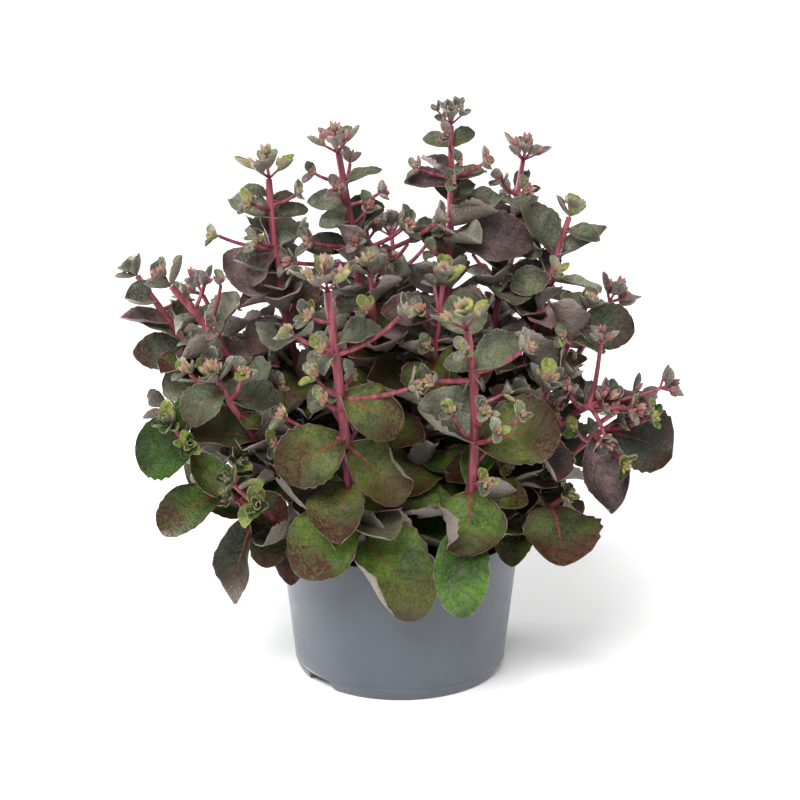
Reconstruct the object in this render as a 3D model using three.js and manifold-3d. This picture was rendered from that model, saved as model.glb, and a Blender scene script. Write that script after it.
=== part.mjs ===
// A sedum with purple-green leaves in a round nursery pot.
// Millimetres, +Z up. The origin is on the floor, on the axis of the pot, and -Y is the front.
import * as THREE from 'three';
import { mergeVertices } from 'three/addons/utils/BufferGeometryUtils.js';
import Module from 'manifold-3d';

const wasm = await Module();
wasm.setup();

// Driving dimensions of the pot.
const POT_HEIGHT = 102.5;
const RIM_RADIUS = 85;
const WALL_FOOT_RADIUS = 74;
const FOOT_RADIUS = 71.7;
const FOOT_ROUND_HEIGHT = 7;
const WALL = 1.8;
const POT_FLOOR_BOTTOM = 9;
const POT_FLOOR_TOP = 11;
const POT_SIDES = 30;
const NOTCH_HEIGHT = 7.5;
const NOTCH_MIDDLES = [-140, -16, 102];
const NOTCH_SPAN = 26;
const NOTCH_TOP_SPAN = 17;
const DRAIN_RADIUS = 4.5;
const DRAIN_CIRCLE = 48;
const DRAIN_COUNT = 6;
const BOSS_RADIUS = 12;

// Driving dimensions of the soil.
const SOIL_TOP = 93;
const SOIL_CROWN = 3;
const FIT_GAP = 0.3;
const STEM_DEPTH = 22;

// Driving dimensions of the plant.
const STEM_SIDES = 4;
const SHOOT_SIDES = 3;
const STEM_ERROR = 1;
const STEM_TAPER = 0.68;
const LEAF_THICK = 2.2;
const THIN_LEAF = 1.5;
const SMALL_LEAF = 38;
const MIDDLE_LEAF = 55;
const LARGE_LEAF = 62;
const HEAD_RADIUS = 14;
const SHOOT_HEAD_RADIUS = 9.5;
const SHOOT_RADII = [1.8, 1.5, 1.3];
const CLEARANCE = 4.05;
const SAMPLE_STEP = 5.5;
const SAMPLE_START = 0.13;

const COLOURS = {
  pot: [0x7d8791, 0.42],
  soil: [0x2c2119, 0.95],
  upper: [0x5c6350, 0.55],
  middle: [0x4c5a38, 0.5],
  lower: [0x4b6a2c, 0.45],
};

// One leafy stem: where it leaves the soil (x, y), the point that bends it and its top.
// leaf rows: height of the root, heading and pitch in degrees, length, width, roll, cup.
// pair rows: height, heading of the first leaf, length. shoot rows: height, tip, size of its buds.
const STEMS = [
  {
    name: 'stem_front_left',
    root: [-30, -57], bend: [-34, -90, 190], top: [-47, -95, 300], thick: 8.8, head: 1.15,
    leaves: [
      [262, 5, 8, 33, 20, 30, 0.15],
      [258, 215, -50, 18, 12, 0, 0.15],
      [228, 345, -32, 47, 38, 45, 0.1],
      [226, 170, -15, 24, 18, -50, 0.15],
      [196, 195, -22, 52, 42, -60, 0.12],
      [190, 338, -38, 54, 42, 45, 0.2],
      [140, 203, -40, 59, 48, -35, 0.05],
      [128, 320, -42, 80, 56, 22, 0.06],
    ],
    pairs: [[158, 80, 49]],
    shoots: [
      [256, [0, -98, 284], 0.8],
      [224, [5, -102, 236], 0.8],
      [226, [-54, -96, 240], 0.7],
      [258, [-69, -88, 268], 0.8],
      [195, [-74, -88, 210], 0.7],
    ],
  },
  {
    name: 'stem_front_right',
    root: [39, -55], bend: [58, -88, 190], top: [44, -82, 270], thick: 8.2, head: 1,
    leaves: [
      [243, 8, 26, 39, 26, 45, 0.25],
      [243, 170, 12, 20, 15, -40, 0.15],
      [238, 200, -55, 14, 7, 0, 0.1],
      [238, 335, -55, 14, 7, 0, 0.1],
      [191, 172, 35, 46, 38, -40, 0.35],
      [191, 4, 10, 58, 48, 62, 0.12],
      [154, 262, -57, 45, 55, 0, 0.12],
      [155, 60, 40, 36, 26, 0, 0.2],
      [132, 264, -55, 69, 38, 0, 0.05],
    ],
    pairs: [[120, 100, 56]],
    shoots: [
      [241, [79, -92, 258], 0.8],
      [236, [24, -97, 240], 0.7],
      [191, [35, -98, 216], 0.5],
      [191, [63, -106, 206], 0.5],
      [190, [78, -98, 214], 0.5],
    ],
  },
  {
    name: 'stem_centre_left',
    root: [-12, 8], bend: [-20, 22, 240], top: [-42, 20, 366], thick: 7.6, head: 1,
    leaves: [
      [345, 5, 20, 28, 10, 30, 0.15],
      [330, 180, 5, 28, 16, -50, 0.2],
      [318, 185, -5, 22, 16, -40, 0.2],
      [300, 350, -35, 28, 18, 40, 0.4],
      [300, 182, 0, 36, 18, -50, 0.2],
    ],
    pairs: [[262, 100, 42], [226, 10, 49], [190, 95, 53]],
    shoots: [
      [346, [-57, 9, 354], 0.4],
      [330, [-41, 6, 342], 0.6],
      [300, [-59, 0, 308], 0.7],
      [288, [-72, 4, 293], 0.7],
      [292, [24, 14, 318], 0.9],
      [298, [1, 6, 316], 0.9],
    ],
  },
  {
    name: 'stem_centre_tall',
    root: [20, 22], bend: [38, 40, 250], top: [35, 40, 381], thick: 7.2, head: 0.85,
    leaves: [
      [366, 170, 15, 21, 13, -40, 0.2],
      [366, 20, 35, 20, 14, 40, 0.3],
      [340, 185, 4, 33, 18, -45, 0.2],
      [343, 8, 12, 26, 12, 30, 0.2],
      [320, 12, 12, 40, 18, 45, 0.25],
      [328, 30, 30, 22, 16, 30, 0.2],
      [300, 358, -2, 58, 38, 50, 0.15],
    ],
    pairs: [[262, 80, 46], [226, 170, 51], [188, 85, 56]],
    shoots: [
      [345, [56, 34, 355], 0.55],
      [345, [14, 34, 352], 0.5],
    ],
  },
  {
    name: 'stem_centre_right',
    root: [42, 34], bend: [70, 56, 250], top: [86, 60, 352], thick: 6, head: 0.9,
    leaves: [
      [330, 60, 40, 20, 12, 0, 0.2],
      [322, 200, 20, 26, 16, -30, 0.2],
    ],
    pairs: [[292, 20, 39], [258, 110, 49], [222, 20, 53], [184, 105, 56]],
    shoots: [
      [328, [72, 54, 338], 0.5],
    ],
  },
  {
    name: 'stem_right_back',
    root: [56, 14], bend: [86, 34, 215], top: [118, 42, 316], thick: 6.6, head: 0.9,
    leaves: [
      [306, 120, 60, 30, 24, 0, 0.2],
      [306, 350, -12, 26, 14, 40, 0.2],
      [288, 155, 42, 44, 28, -30, 0.2],
      [288, 8, 26, 43, 16, 35, 0.25],
      [274, 200, -14, 30, 22, -50, 0.2],
      [272, 355, -10, 38, 12, 20, 0.1],
    ],
    pairs: [[240, 80, 49], [206, 170, 51], [172, 80, 53]],
    shoots: [],
  },
  {
    name: 'stem_right_middle',
    root: [64, 4], bend: [98, 12, 190], top: [128, 6, 260], thick: 5.6, head: 0.7,
    leaves: [
      [248, 345, -2, 40, 34, 60, 0.12],
      [250, 110, 50, 34, 26, 0, 0.2],
      [236, 235, 60, 38, 32, 0, 0.2],
      [236, 350, -15, 26, 12, 30, 0.1],
    ],
    pairs: [[204, 30, 46], [172, 110, 51], [140, 30, 53]],
    shoots: [],
  },
  {
    name: 'stem_right_front',
    root: [50, -26], bend: [78, -44, 165], top: [96, -56, 220], thick: 5.6, head: 0.95,
    leaves: [
      [212, 40, 35, 28, 20, 0, 0.2],
      [212, 220, 20, 26, 18, 0, 0.3],
    ],
    pairs: [[184, 130, 42], [150, 40, 51], [118, 120, 51]],
    shoots: [],
  },
  {
    name: 'stem_right_wide',
    root: [60, -14], bend: [90, -10, 180], top: [134, -40, 206], thick: 6.2, head: 0.8,
    leaves: [
      [201, 25, 30, 38, 22, 20, 0.2],
      [200, 350, -6, 48, 20, 30, 0.2],
    ],
    pairs: [[168, 60, 46], [136, 150, 51]],
    shoots: [
      [203, [136, -34, 246], 0.8],
      [200, [115, -46, 214], 0.7],
      [204, [177, -32, 214], 0.9],
      [204, [154, -54, 207], 0.7],
      [203, [138, -58, 190], 0.7],
    ],
  },
  {
    name: 'stem_right_low',
    root: [68, -6], bend: [108, -20, 160], top: [148, -32, 190], thick: 5.6, head: 0.5,
    leaves: [
      [184, 352, -18, 50, 46, 60, 0.1],
      [178, 288, -52, 56, 34, 10, 0.2],
      [160, 110, 10, 44, 36, 0, 0.15],
    ],
    pairs: [[126, 40, 51]],
    shoots: [
      [184, [168, -46, 197], 0.7],
      [178, [150, -60, 172], 0.6],
    ],
  },
  {
    name: 'stem_right_hanging',
    root: [61, -33], bend: [88, -46, 122], top: [111, -57, 144], thick: 5.4, head: 0.3,
    leaves: [
      [136, 283, -38, 47, 54, 0, 0.08],
      [124, 240, -40, 38, 30, 0, 0.15],
    ],
    pairs: [[112, 60, 46]],
    shoots: [],
  },
  {
    name: 'stem_left_tall',
    root: [-40, 16], bend: [-84, 12, 230], top: [-90, 20, 348], thick: 7.8, head: 1.1,
    leaves: [
      [333, 20, 10, 20, 10, 30, 0.2],
      [335, 165, 15, 22, 9, -30, 0.2],
      [321, 168, 25, 34, 20, -40, 0.25],
      [321, 10, 18, 26, 14, 40, 0.2],
      [296, 200, -50, 28, 18, -40, 0.3],
      [296, 300, -30, 16, 8, 0, 0.2],
      [262, 162, 36, 54, 32, -50, 0.1],
      [268, 345, 0, 28, 24, 50, 0.1],
    ],
    pairs: [[236, 80, 46], [202, 170, 51], [168, 80, 53], [134, 170, 53]],
    shoots: [
      [299, [-124, 8, 311], 0.5],
      [330, [-72, 16, 338], 0.4],
    ],
  },
  {
    name: 'stem_left_upper',
    root: [-54, -6], bend: [-98, -8, 215], top: [-156, -10, 280], thick: 7.4, head: 1.1,
    leaves: [
      [259, 200, -40, 20, 15, 0, 0.2],
      [241, 182, -6, 28, 12, -20, 0.2],
      [243, 20, 62, 36, 22, 30, 0.3],
      [246, 150, 70, 32, 16, 0, 0.2],
    ],
    pairs: [[214, 290, 46], [182, 20, 51], [150, 290, 53]],
    shoots: [
      [250, [-122, -14, 282], 0.5],
    ],
  },
  {
    name: 'stem_far_left',
    root: [-58, 22], bend: [-122, 0, 196], top: [-182, 18, 280], thick: 6.8, head: 0.8,
    leaves: [
      [262, 190, 15, 24, 20, -40, 0.4],
      [246, 178, 8, 38, 14, -25, 0.2],
      [226, 183, 2, 42, 27, -60, 0.1],
      [236, 172, 20, 38, 18, -30, 0.2],
      [206, 186, -8, 36, 28, -55, 0.12],
    ],
    pairs: [[190, 90, 49], [160, 180, 53], [130, 90, 53]],
    shoots: [],
  },
  {
    name: 'stem_left_front',
    root: [-46, -34], bend: [-86, -60, 165], top: [-120, -80, 234], thick: 6.8, head: 1,
    leaves: [
      [228, 205, -35, 34, 28, -40, 0.2],
      [220, 350, -10, 34, 24, 40, 0.2],
      [208, 330, -20, 18, 14, 40, 0.2],
    ],
    pairs: [[188, 190, 42], [156, 280, 49]],
    shoots: [
      [222, [-138, -84, 240], 0.7],
      [220, [-104, -92, 240], 0.7],
    ],
  },
  {
    name: 'stem_left_green',
    root: [-64, -20], bend: [-112, -48, 128], top: [-150, -86, 204], thick: 6, head: 0.7,
    leaves: [
      [184, 185, 5, 38, 42, -70, 0.2],
      [192, 40, 75, 36, 20, 0, 0.3],
      [184, 320, -50, 36, 22, 30, 0.3],
      [150, 192, -30, 54, 32, -50, 0.15],
    ],
    pairs: [[130, 100, 49]],
    shoots: [],
  },
  {
    name: 'stem_left_yellow',
    root: [-42, -54], bend: [-84, -92, 138], top: [-110, -108, 172], thick: 4.4, head: 0.4,
    leaves: [
      [168, 150, 30, 18, 10, 0, 0.2],
      [168, 340, 20, 18, 10, 0, 0.2],
      [156, 250, -40, 20, 11, 0, 0.2],
      [156, 60, 50, 18, 10, 0, 0.2],
    ],
    pairs: [],
    shoots: [],
  },
  {
    name: 'stem_left_low',
    root: [-60, -42], bend: [-84, -60, 132], top: [-112, -72, 148], thick: 5.4, head: 0.3,
    leaves: [
      [138, 228, -70, 66, 27, -10, 0.15],
      [138, 285, -38, 42, 34, -20, 0.15],
      [128, 300, -58, 46, 24, 0, 0.1],
      [146, 330, -10, 46, 34, 50, 0.15],
    ],
    pairs: [[116, 140, 46]],
    shoots: [],
  },
  {
    name: 'stem_centre_front',
    root: [12, -16], bend: [20, -18, 200], top: [29, -20, 284], thick: 5.4, head: 1,
    leaves: [
      [262, 182, 5, 40, 24, -50, 0.2],
      [258, 5, 15, 34, 32, 65, 0.12],
      [268, 12, 48, 32, 20, 20, 0.3],
    ],
    pairs: [[226, 95, 51], [190, 5, 56], [154, 275, 58]],
    shoots: [],
  },
  {
    name: 'stem_centre_middle',
    root: [-10, -16], bend: [-14, -12, 200], top: [-20, -12, 288], thick: 5.4, head: 1,
    leaves: [],
    pairs: [[264, 180, 30], [232, 90, 46], [198, 180, 53], [160, 270, 58]],
    shoots: [],
  },
  { name: 'stem_back_left', root: [-30, 42], bend: [-60, 72, 200], top: [-78, 96, 282] },
  { name: 'stem_back_middle', root: [4, 50], bend: [0, 90, 210], top: [-6, 128, 280] },
  { name: 'stem_back_right', root: [36, 54], bend: [62, 84, 200], top: [84, 118, 274] },
  { name: 'stem_back_far_right', root: [64, 34], bend: [110, 60, 180], top: [150, 78, 244] },
  { name: 'stem_back_far_left', root: [-60, 38], bend: [-105, 66, 180], top: [-142, 84, 248] },
  { name: 'stem_back_lower_left', root: [-20, 62], bend: [-40, 100, 168], top: [-62, 158, 210] },
  { name: 'stem_back_lower_right', root: [22, 66], bend: [44, 104, 166], top: [72, 160, 204] },
  { name: 'stem_back_centre', root: [0, 30], bend: [-10, 60, 220], top: [-22, 72, 292] },
  { name: 'stem_right_side', root: [68, 8], bend: [104, 10, 156], top: [164, 44, 178] },
  { name: 'stem_left_side', root: [-67, 2], bend: [-92, 16, 160], top: [-160, 42, 176] },
  { name: 'stem_back_hanging_left', root: [-46, 50], bend: [-68, 84, 150], top: [-106, 138, 160] },
  { name: 'stem_back_hanging_right', root: [48, 50], bend: [74, 84, 150], top: [118, 130, 160] },
];

// Stems of the back, which the front view hides, share one plain habit.
const BACK_STEM = { thick: 5.6, head: 0.95, step: 31, first: 120, turn: 87, shootSize: 0.8 };

// Vectors are plain [x, y, z] arrays.
const add = (a, b) => [a[0] + b[0], a[1] + b[1], a[2] + b[2]];
const sub = (a, b) => [a[0] - b[0], a[1] - b[1], a[2] - b[2]];
const mul = (a, k) => [a[0] * k, a[1] * k, a[2] * k];
const dot = (a, b) => a[0] * b[0] + a[1] * b[1] + a[2] * b[2];
const cross = (a, b) => [
  a[1] * b[2] - a[2] * b[1],
  a[2] * b[0] - a[0] * b[2],
  a[0] * b[1] - a[1] * b[0],
];
const unit = (a) => mul(a, 1 / Math.sqrt(dot(a, a)));
const mix = (a, b, k) => a + (b - a) * k;
const radians = (degrees) => (degrees * Math.PI) / 180;

// A seeded series of numbers from 0 to 1.
function randomFrom(seed) {
  const modulus = 2147483647;
  let state = (seed * 7919 + 12345) % modulus;
  return () => {
    state = (state * 16807) % modulus;
    return state / modulus;
  };
}

// The point at share t of a stem or shoot: a curve from its root, drawn to its bend, to its top.
function curvePoint(curve, t) {
  const a = mul(curve.root, (1 - t) * (1 - t));
  const b = mul(curve.bend, 2 * t * (1 - t));
  const c = mul(curve.top, t * t);
  return add(add(a, b), c);
}

function curveDirection(curve, t) {
  const a = mul(sub(curve.bend, curve.root), 1 - t);
  const b = mul(sub(curve.top, curve.bend), t);
  return unit(add(a, b));
}

// The share t at which a rising curve passes a height.
function shareAt(curve, height) {
  let low = 0;
  let high = 1;
  for (let i = 0; i < 30; i += 1) {
    const middle = (low + high) / 2;
    if (curvePoint(curve, middle)[2] < height) low = middle;
    else high = middle;
  }
  return (low + high) / 2;
}

// A leaf's own axes: along it, up from its upper face, and to its left.
function leafAxes(heading, pitch, roll) {
  const h = radians(heading);
  const p = radians(pitch);
  const r = radians(roll);
  const along = [Math.cos(p) * Math.cos(h), Math.cos(p) * Math.sin(h), Math.sin(p)];
  const flat = [-Math.sin(p) * Math.cos(h), -Math.sin(p) * Math.sin(h), Math.cos(p)];
  const up = add(mul(flat, Math.cos(r)), mul(cross(along, flat), Math.sin(r)));
  return { along, up, left: cross(up, along) };
}

// Half the width of a leaf at share t of its length, as a share of its widest half. It widens
// soon from its root. Broad leaves and low ones end round, and narrow high ones in a point.
const WIDEST = 0.58;
const NECK = 0.1;
const ROUND_BELOW = 200;
function leafProfile(leaf, t) {
  if (t < WIDEST) return NECK + (1 - NECK) * Math.sin((Math.PI / 2) * (t / WIDEST) ** 0.9);
  const broad = (leaf.wide / leaf.long - 0.45) / 0.35;
  const low = (ROUND_BELOW - leaf.root[2]) / 40;
  const round = Math.min(1, Math.max(0, broad, low));
  return Math.max(0, 1 - ((t - WIDEST) / (1 - WIDEST)) ** 2) ** mix(0.95, 0.52, round);
}

// A point of a leaf's middle surface: t runs from root to tip, u from right edge to left edge.
function leafPoint(leaf, t, u) {
  const half = 0.5 * leaf.wide * leafProfile(leaf, t);
  const side = u < 0 ? leaf.phase : leaf.phase + 2.1;
  const wave = leaf.wave * leaf.wide * Math.abs(u) ** 3 * Math.sin(9 * t + side) * Math.min(1, 3 * t);
  const lift = leaf.long * leaf.arch * 4 * t * (1 - t) + leaf.cup * 2 * half * u * u + wave;
  const out = add(mul(leaf.along, leaf.long * t), mul(leaf.left, half * u));
  return add(leaf.root, add(out, mul(leaf.up, lift)));
}

// A leaf that grows from a point of a stem. key seeds its own small draws.
function leafFrom(root, row, key) {
  const [heading, pitch, long, wide, roll, cup] = row;
  const draw = randomFrom(key);
  return {
    root,
    heading, pitch, long, wide, roll, cup,
    ...leafAxes(heading, pitch, roll),
    phase: 6.28 * draw(),
    wave: mix(0.02, 0.07, draw()),
    arch: pitch < -28 ? 0.13 : mix(0, 0.09, draw()),
  };
}

// The two leaves of a pair stand opposite each other, flatter low on the stem. A leaf that points
// out of the plant hangs lower, and one that points into it stands up, so both face out.
const LEAN_OUT = 26;
function pairRows(stem, [height, heading, long], draw) {
  const share = shareAt(stem, height);
  const [x, y] = curvePoint(stem, share);
  const outward = Math.atan2(y, x);
  return [0, 180].map((turn) => {
    const towards = heading + turn + mix(-9, 9, draw());
    const inward = -Math.cos(radians(towards) - outward);
    const pitch = mix(-20, 30, share) + mix(-10, 10, draw()) + LEAN_OUT * inward;
    const size = long * mix(0.92, 1.1, draw());
    const roll = mix(-30, 30, draw());
    const cup = mix(0.1, 0.22, draw());
    return [height + turn / 60, towards, pitch, size, size * 0.84, roll, cup];
  });
}

// The pairs of a back stem, each turned a quarter from the last and smaller towards the top.
function backPairs(stem, index) {
  const pairs = [];
  let heading = 40 * index;
  for (let height = BACK_STEM.first; height < stem.top[2] - 18; height += BACK_STEM.step) {
    pairs.push([height, heading, mix(54, 32, shareAt(stem, height))]);
    heading += BACK_STEM.turn;
  }
  return pairs;
}

// A side shoot near the top of a back stem, to the left and to the right by turns.
function backShoots(stem, index) {
  const side = index % 2 ? 1 : -1;
  const height = stem.top[2] - 24;
  const from = curvePoint(stem, shareAt(stem, height));
  return [[height, add(from, [side * 24, 10, 20]), BACK_STEM.shootSize]];
}

// A side shoot leaves its stem flat and turns up at its end.
function shootFrom(stem, [height, tip, size]) {
  const root = curvePoint(stem, shareAt(stem, height));
  const bend = [mix(root[0], tip[0], 0.6), mix(root[1], tip[1], 0.6), mix(root[2], tip[2], 0.3)];
  return { root, bend, top: tip, size };
}

// The head of buds that ends a stem or a shoot, with the ways that the rod under it lies.
function headOf(curve, radius, key, rings, sides) {
  const { side, other, forward } = rings[rings.length - 1];
  const at = add(curve.top, mul(curveDirection(curve, 1), radius * 0.55));
  return { at, radius, key, side, other, forward, sides };
}

// A leaf row of a stem: its first number is the height of its root.
function stemLeaf(stem, [height, ...row], key) {
  return leafFrom(curvePoint(stem, shareAt(stem, height)), row, key);
}

// The small leaves that stand like a cup round the buds of a head: where each grows from, the
// ways it points, faces up and lies across, and its length.
const CUP_LEAF = 8;
const CUP_GROWTH = 0.75;
const CUP_RISE = 0.25;
const CUP_WIDE = 0.72;
const CUP_EDGE = 0.2;
const CUP_HOLLOW = 0.05;
const CUP_KEEL = 0.03;
function cupLeaves(head) {
  const { side, other, forward, sides } = head;
  const step = (2 * Math.PI) / sides;
  const picked = sides === 3 ? [0, 1] : [0, 2];
  return picked.map((k) => {
    const turn = step * (k + 1);
    const flat = add(mul(side, Math.cos(turn)), mul(other, Math.sin(turn)));
    const out = unit(add(flat, mul(forward, CUP_RISE)));
    const across = cross(forward, flat);
    const reach = (head.radius * HEAD_CORE * HEAD_RING * (1 + 2 * Math.cos(step / 2))) / 3;
    const root = add(head.at, mul(flat, reach));
    const long = CUP_LEAF + CUP_GROWTH * head.radius;
    return { k, root, out, up: cross(out, across), across, long };
  });
}

// The widest points, middle and tip of such a leaf, whose edges and tip stand above its middle.
function cupCorners({ root, out, up, across, long }) {
  const heart = add(root, mul(out, long / 2));
  const raised = add(heart, mul(up, CUP_EDGE * long));
  return {
    left: add(raised, mul(across, (CUP_WIDE * long) / 2)),
    right: sub(raised, mul(across, (CUP_WIDE * long) / 2)),
    hollow: add(heart, mul(up, CUP_HOLLOW * long)),
    keel: sub(heart, mul(up, CUP_KEEL * long)),
    tip: add(root, add(mul(out, long), mul(up, CUP_EDGE * long))),
  };
}

// Points spread over a leaf, each with its share of the length.
function leafSamples(leaf) {
  const rows = Math.ceil((leaf.long * (1 - SAMPLE_START)) / SAMPLE_STEP);
  const columns = Math.ceil(leaf.wide / SAMPLE_STEP);
  const samples = [];
  for (let i = 0; i <= rows; i += 1) {
    const t = mix(SAMPLE_START, 1, i / rows);
    const last = i === rows ? 0 : columns;
    for (let j = 0; j <= last; j += 1) {
      const u = last === 0 ? 0 : (2 * j) / columns - 1;
      samples.push({ point: leafPoint(leaf, t, u), t });
    }
  }
  return samples;
}

// The outer radius of the pot's wall at a height.
function potRadius(height) {
  return mix(WALL_FOOT_RADIUS, RIM_RADIUS, Math.min(1, Math.max(0, height / POT_HEIGHT)));
}

// Whether a point is too near the pot, the soil or the floor.
const POT_CLEARANCE = 3;
function nearPot(p) {
  const r = Math.sqrt(p[0] * p[0] + p[1] * p[1]);
  if (p[2] < 12) return true;
  if (p[2] > POT_HEIGHT + POT_CLEARANCE || r > potRadius(p[2]) + POT_CLEARANCE) return false;
  if (r > RIM_RADIUS - WALL - POT_CLEARANCE - 1) return true;
  return p[2] < SOIL_TOP + SOIL_CROWN + POT_CLEARANCE;
}

// What leaves keep clear of: points, each with its stem's number and the distance to keep.
const obstacles = [];

function blockCurve(curve, owner, keep, far) {
  const length = Math.sqrt(dot(sub(curve.top, curve.root), sub(curve.top, curve.root)));
  const steps = Math.ceil(length / SAMPLE_STEP);
  for (let i = 0; i <= steps; i += 1) {
    obstacles.push({ point: curvePoint(curve, i / steps), owner, keep, far });
  }
}

function isClear(samples, owner) {
  for (const { point, t } of samples) {
    if (nearPot(point)) return false;
    for (const o of obstacles) {
      let keep = o.keep;
      if (o.owner === owner) {
        if (t < 0.4 || !o.far) continue;
        keep *= 0.8;
      }
      const dx = point[0] - o.point[0];
      const dy = point[1] - o.point[1];
      const dz = point[2] - o.point[2];
      if (dx * dx + dy * dy + dz * dz < keep * keep) return false;
    }
  }
  return true;
}

// Swings of heading and pitch, from the smallest, that a leaf may take to stand clear.
const SWINGS = [
  [0, 0], [1, 0], [-1, 0], [0, 1], [0, -1], [1, 1], [-1, 1], [1, -1], [-1, -1],
  [2, 0], [-2, 0], [0, 2], [0, -2], [2, 1], [-2, 1], [2, -1], [-2, -1], [2, 2], [-2, 2],
  [3, 0], [-3, 0], [3, 1], [-3, 1], [3, 2], [-3, 2], [0, 3], [3, -1], [-3, -1],
];
const SHRINKS = [1, 0.88, 0.76, 0.62];
const LEAF_SWING = 6;
const PAIR_SWING = 11;

// Places a leaf clear of all the others, or returns null where there is no room for it.
function settle(leaf, owner, swing) {
  for (const shrink of SHRINKS) {
    for (const [turn, lift] of SWINGS) {
      const heading = leaf.heading + swing * turn;
      const pitch = leaf.pitch + swing * lift;
      const tried = {
        ...leaf, heading, pitch,
        long: leaf.long * shrink,
        wide: leaf.wide * shrink,
        ...leafAxes(heading, pitch, leaf.roll),
      };
      const samples = leafSamples(tried);
      if (isClear(samples, owner)) {
        for (const { point, t } of samples) {
          obstacles.push({ point, owner, keep: CLEARANCE, far: t > 0.4 });
        }
        return tried;
      }
    }
  }
  return null;
}

// Every stem with its shoots, heads and settled leaves.
function growPlant() {
  const stems = STEMS.map((spec, index) => {
    const stem = { ...spec, index, root: [...spec.root, SOIL_TOP + SOIL_CROWN] };
    if (!spec.thick) {
      Object.assign(stem, { thick: BACK_STEM.thick, head: BACK_STEM.head, leaves: [] });
      stem.pairs = backPairs(stem, index);
      stem.shootRows = backShoots(stem, index);
    } else {
      stem.shootRows = spec.shoots;
    }
    return stem;
  });
  for (const stem of stems) {
    stem.shoots = stem.shootRows.map((row) => shootFrom(stem, row));
    stem.rings = stemRings(stem);
    const key = 3000 + 10 * stem.index;
    stem.headShape = headOf(stem, HEAD_RADIUS * stem.head, key, stem.rings, STEM_SIDES);
    stem.shoots.forEach((shoot, i) => {
      const radius = SHOOT_HEAD_RADIUS * shoot.size;
      shoot.rings = shootRings(shoot);
      shoot.headShape = headOf(shoot, radius, key + 1 + i, shoot.rings, SHOOT_SIDES);
    });
    blockCurve(stem, stem.index, stem.thick / 2 + 3, true);
    for (const shoot of stem.shoots) blockCurve(shoot, stem.index, 3.4, true);
    for (const { headShape } of [stem, ...stem.shoots]) {
      const keep = headShape.radius + 1.5;
      obstacles.push({ point: headShape.at, owner: stem.index, keep, far: true });
      for (const leaf of cupLeaves(headShape)) {
        for (const point of Object.values(cupCorners(leaf))) {
          obstacles.push({ point, owner: stem.index, keep: CLEARANCE, far: true });
        }
      }
    }
  }
  for (const stem of stems) {
    const leaves = stem.leaves.map((row, i) => stemLeaf(stem, row, 100 * stem.index + i));
    stem.blades = leaves.map((leaf) => settle(leaf, stem.index, LEAF_SWING)).filter(Boolean);
  }
  for (const stem of stems) {
    const draw = randomFrom(700 + stem.index);
    const rows = stem.pairs.flatMap((pair) => pairRows(stem, pair, draw));
    const leaves = rows.map((row, i) => stemLeaf(stem, row, 100 * stem.index + 50 + i));
    const settled = leaves.map((leaf) => settle(leaf, stem.index, PAIR_SWING));
    stem.blades.push(...settled.filter(Boolean));
  }
  return stems;
}

// A closed solid from corner points and faces given as lists of three or more corners.
function solidFrom(points, faces) {
  const triangles = [];
  for (const face of faces) {
    for (let i = 1; i + 1 < face.length; i += 1) triangles.push(face[0], face[i], face[i + 1]);
  }
  return new wasm.Manifold(new wasm.Mesh({
    numProp: 3,
    vertProperties: new Float32Array(points.flat()),
    triVerts: new Uint32Array(triangles),
  }));
}

function solidFromGeometry(geometry) {
  const bare = geometry.index ? geometry.toNonIndexed() : geometry;
  bare.deleteAttribute('normal');
  bare.deleteAttribute('uv');
  const merged = mergeVertices(bare, 1e-3);
  return new wasm.Manifold(new wasm.Mesh({
    numProp: 3,
    vertProperties: merged.attributes.position.array,
    triVerts: new Uint32Array(merged.index.array),
  }));
}

function geometryFrom(solid) {
  const mesh = solid.getMesh();
  const geometry = new THREE.BufferGeometry();
  geometry.setAttribute('position', new THREE.BufferAttribute(mesh.vertProperties, 3));
  geometry.setIndex(new THREE.BufferAttribute(mesh.triVerts, 1));
  const flat = geometry.toNonIndexed();
  flat.computeVertexNormals();
  return flat;
}

// Rings of corners round a list of points, none twisted against the last.
function ringsAlong(points, radii, sides) {
  let side = null;
  return points.map((point, i) => {
    const before = points[Math.max(0, i - 1)];
    const after = points[Math.min(points.length - 1, i + 1)];
    const forward = unit(sub(after, before));
    const hint = side || [1, 0, 0];
    side = unit(sub(hint, mul(forward, dot(hint, forward))));
    const other = cross(forward, side);
    return { corners: ringOf(point, side, other, radii[i], sides, 0), side, other, forward };
  });
}

function ringOf(centre, side, other, radius, sides, shift) {
  return Array.from({ length: sides }, (_, k) => {
    const turn = (2 * Math.PI * (k + shift)) / sides;
    const out = add(mul(side, Math.cos(turn)), mul(other, Math.sin(turn)));
    return add(centre, mul(out, radius));
  });
}

// The faces of a rod: its start, and the bands between its rings.
function rodFaces(count, sides) {
  const faces = [Array.from({ length: sides }, (_, k) => sides - 1 - k)];
  for (let i = 0; i + 1 < count; i += 1) {
    for (let k = 0; k < sides; k += 1) {
      const next = (k + 1) % sides;
      const low = i * sides;
      faces.push([low + k, low + next, low + sides + next, low + sides + k]);
    }
  }
  return faces;
}

// A tapering rod through a list of points, with its two ends closed.
function rod(points, radii, sides) {
  const corners = ringsAlong(points, radii, sides).flatMap((ring) => ring.corners);
  const faces = rodFaces(points.length, sides);
  const end = (points.length - 1) * sides;
  faces.push(Array.from({ length: sides }, (_, k) => end + k));
  return solidFrom(corners, faces);
}

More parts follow.
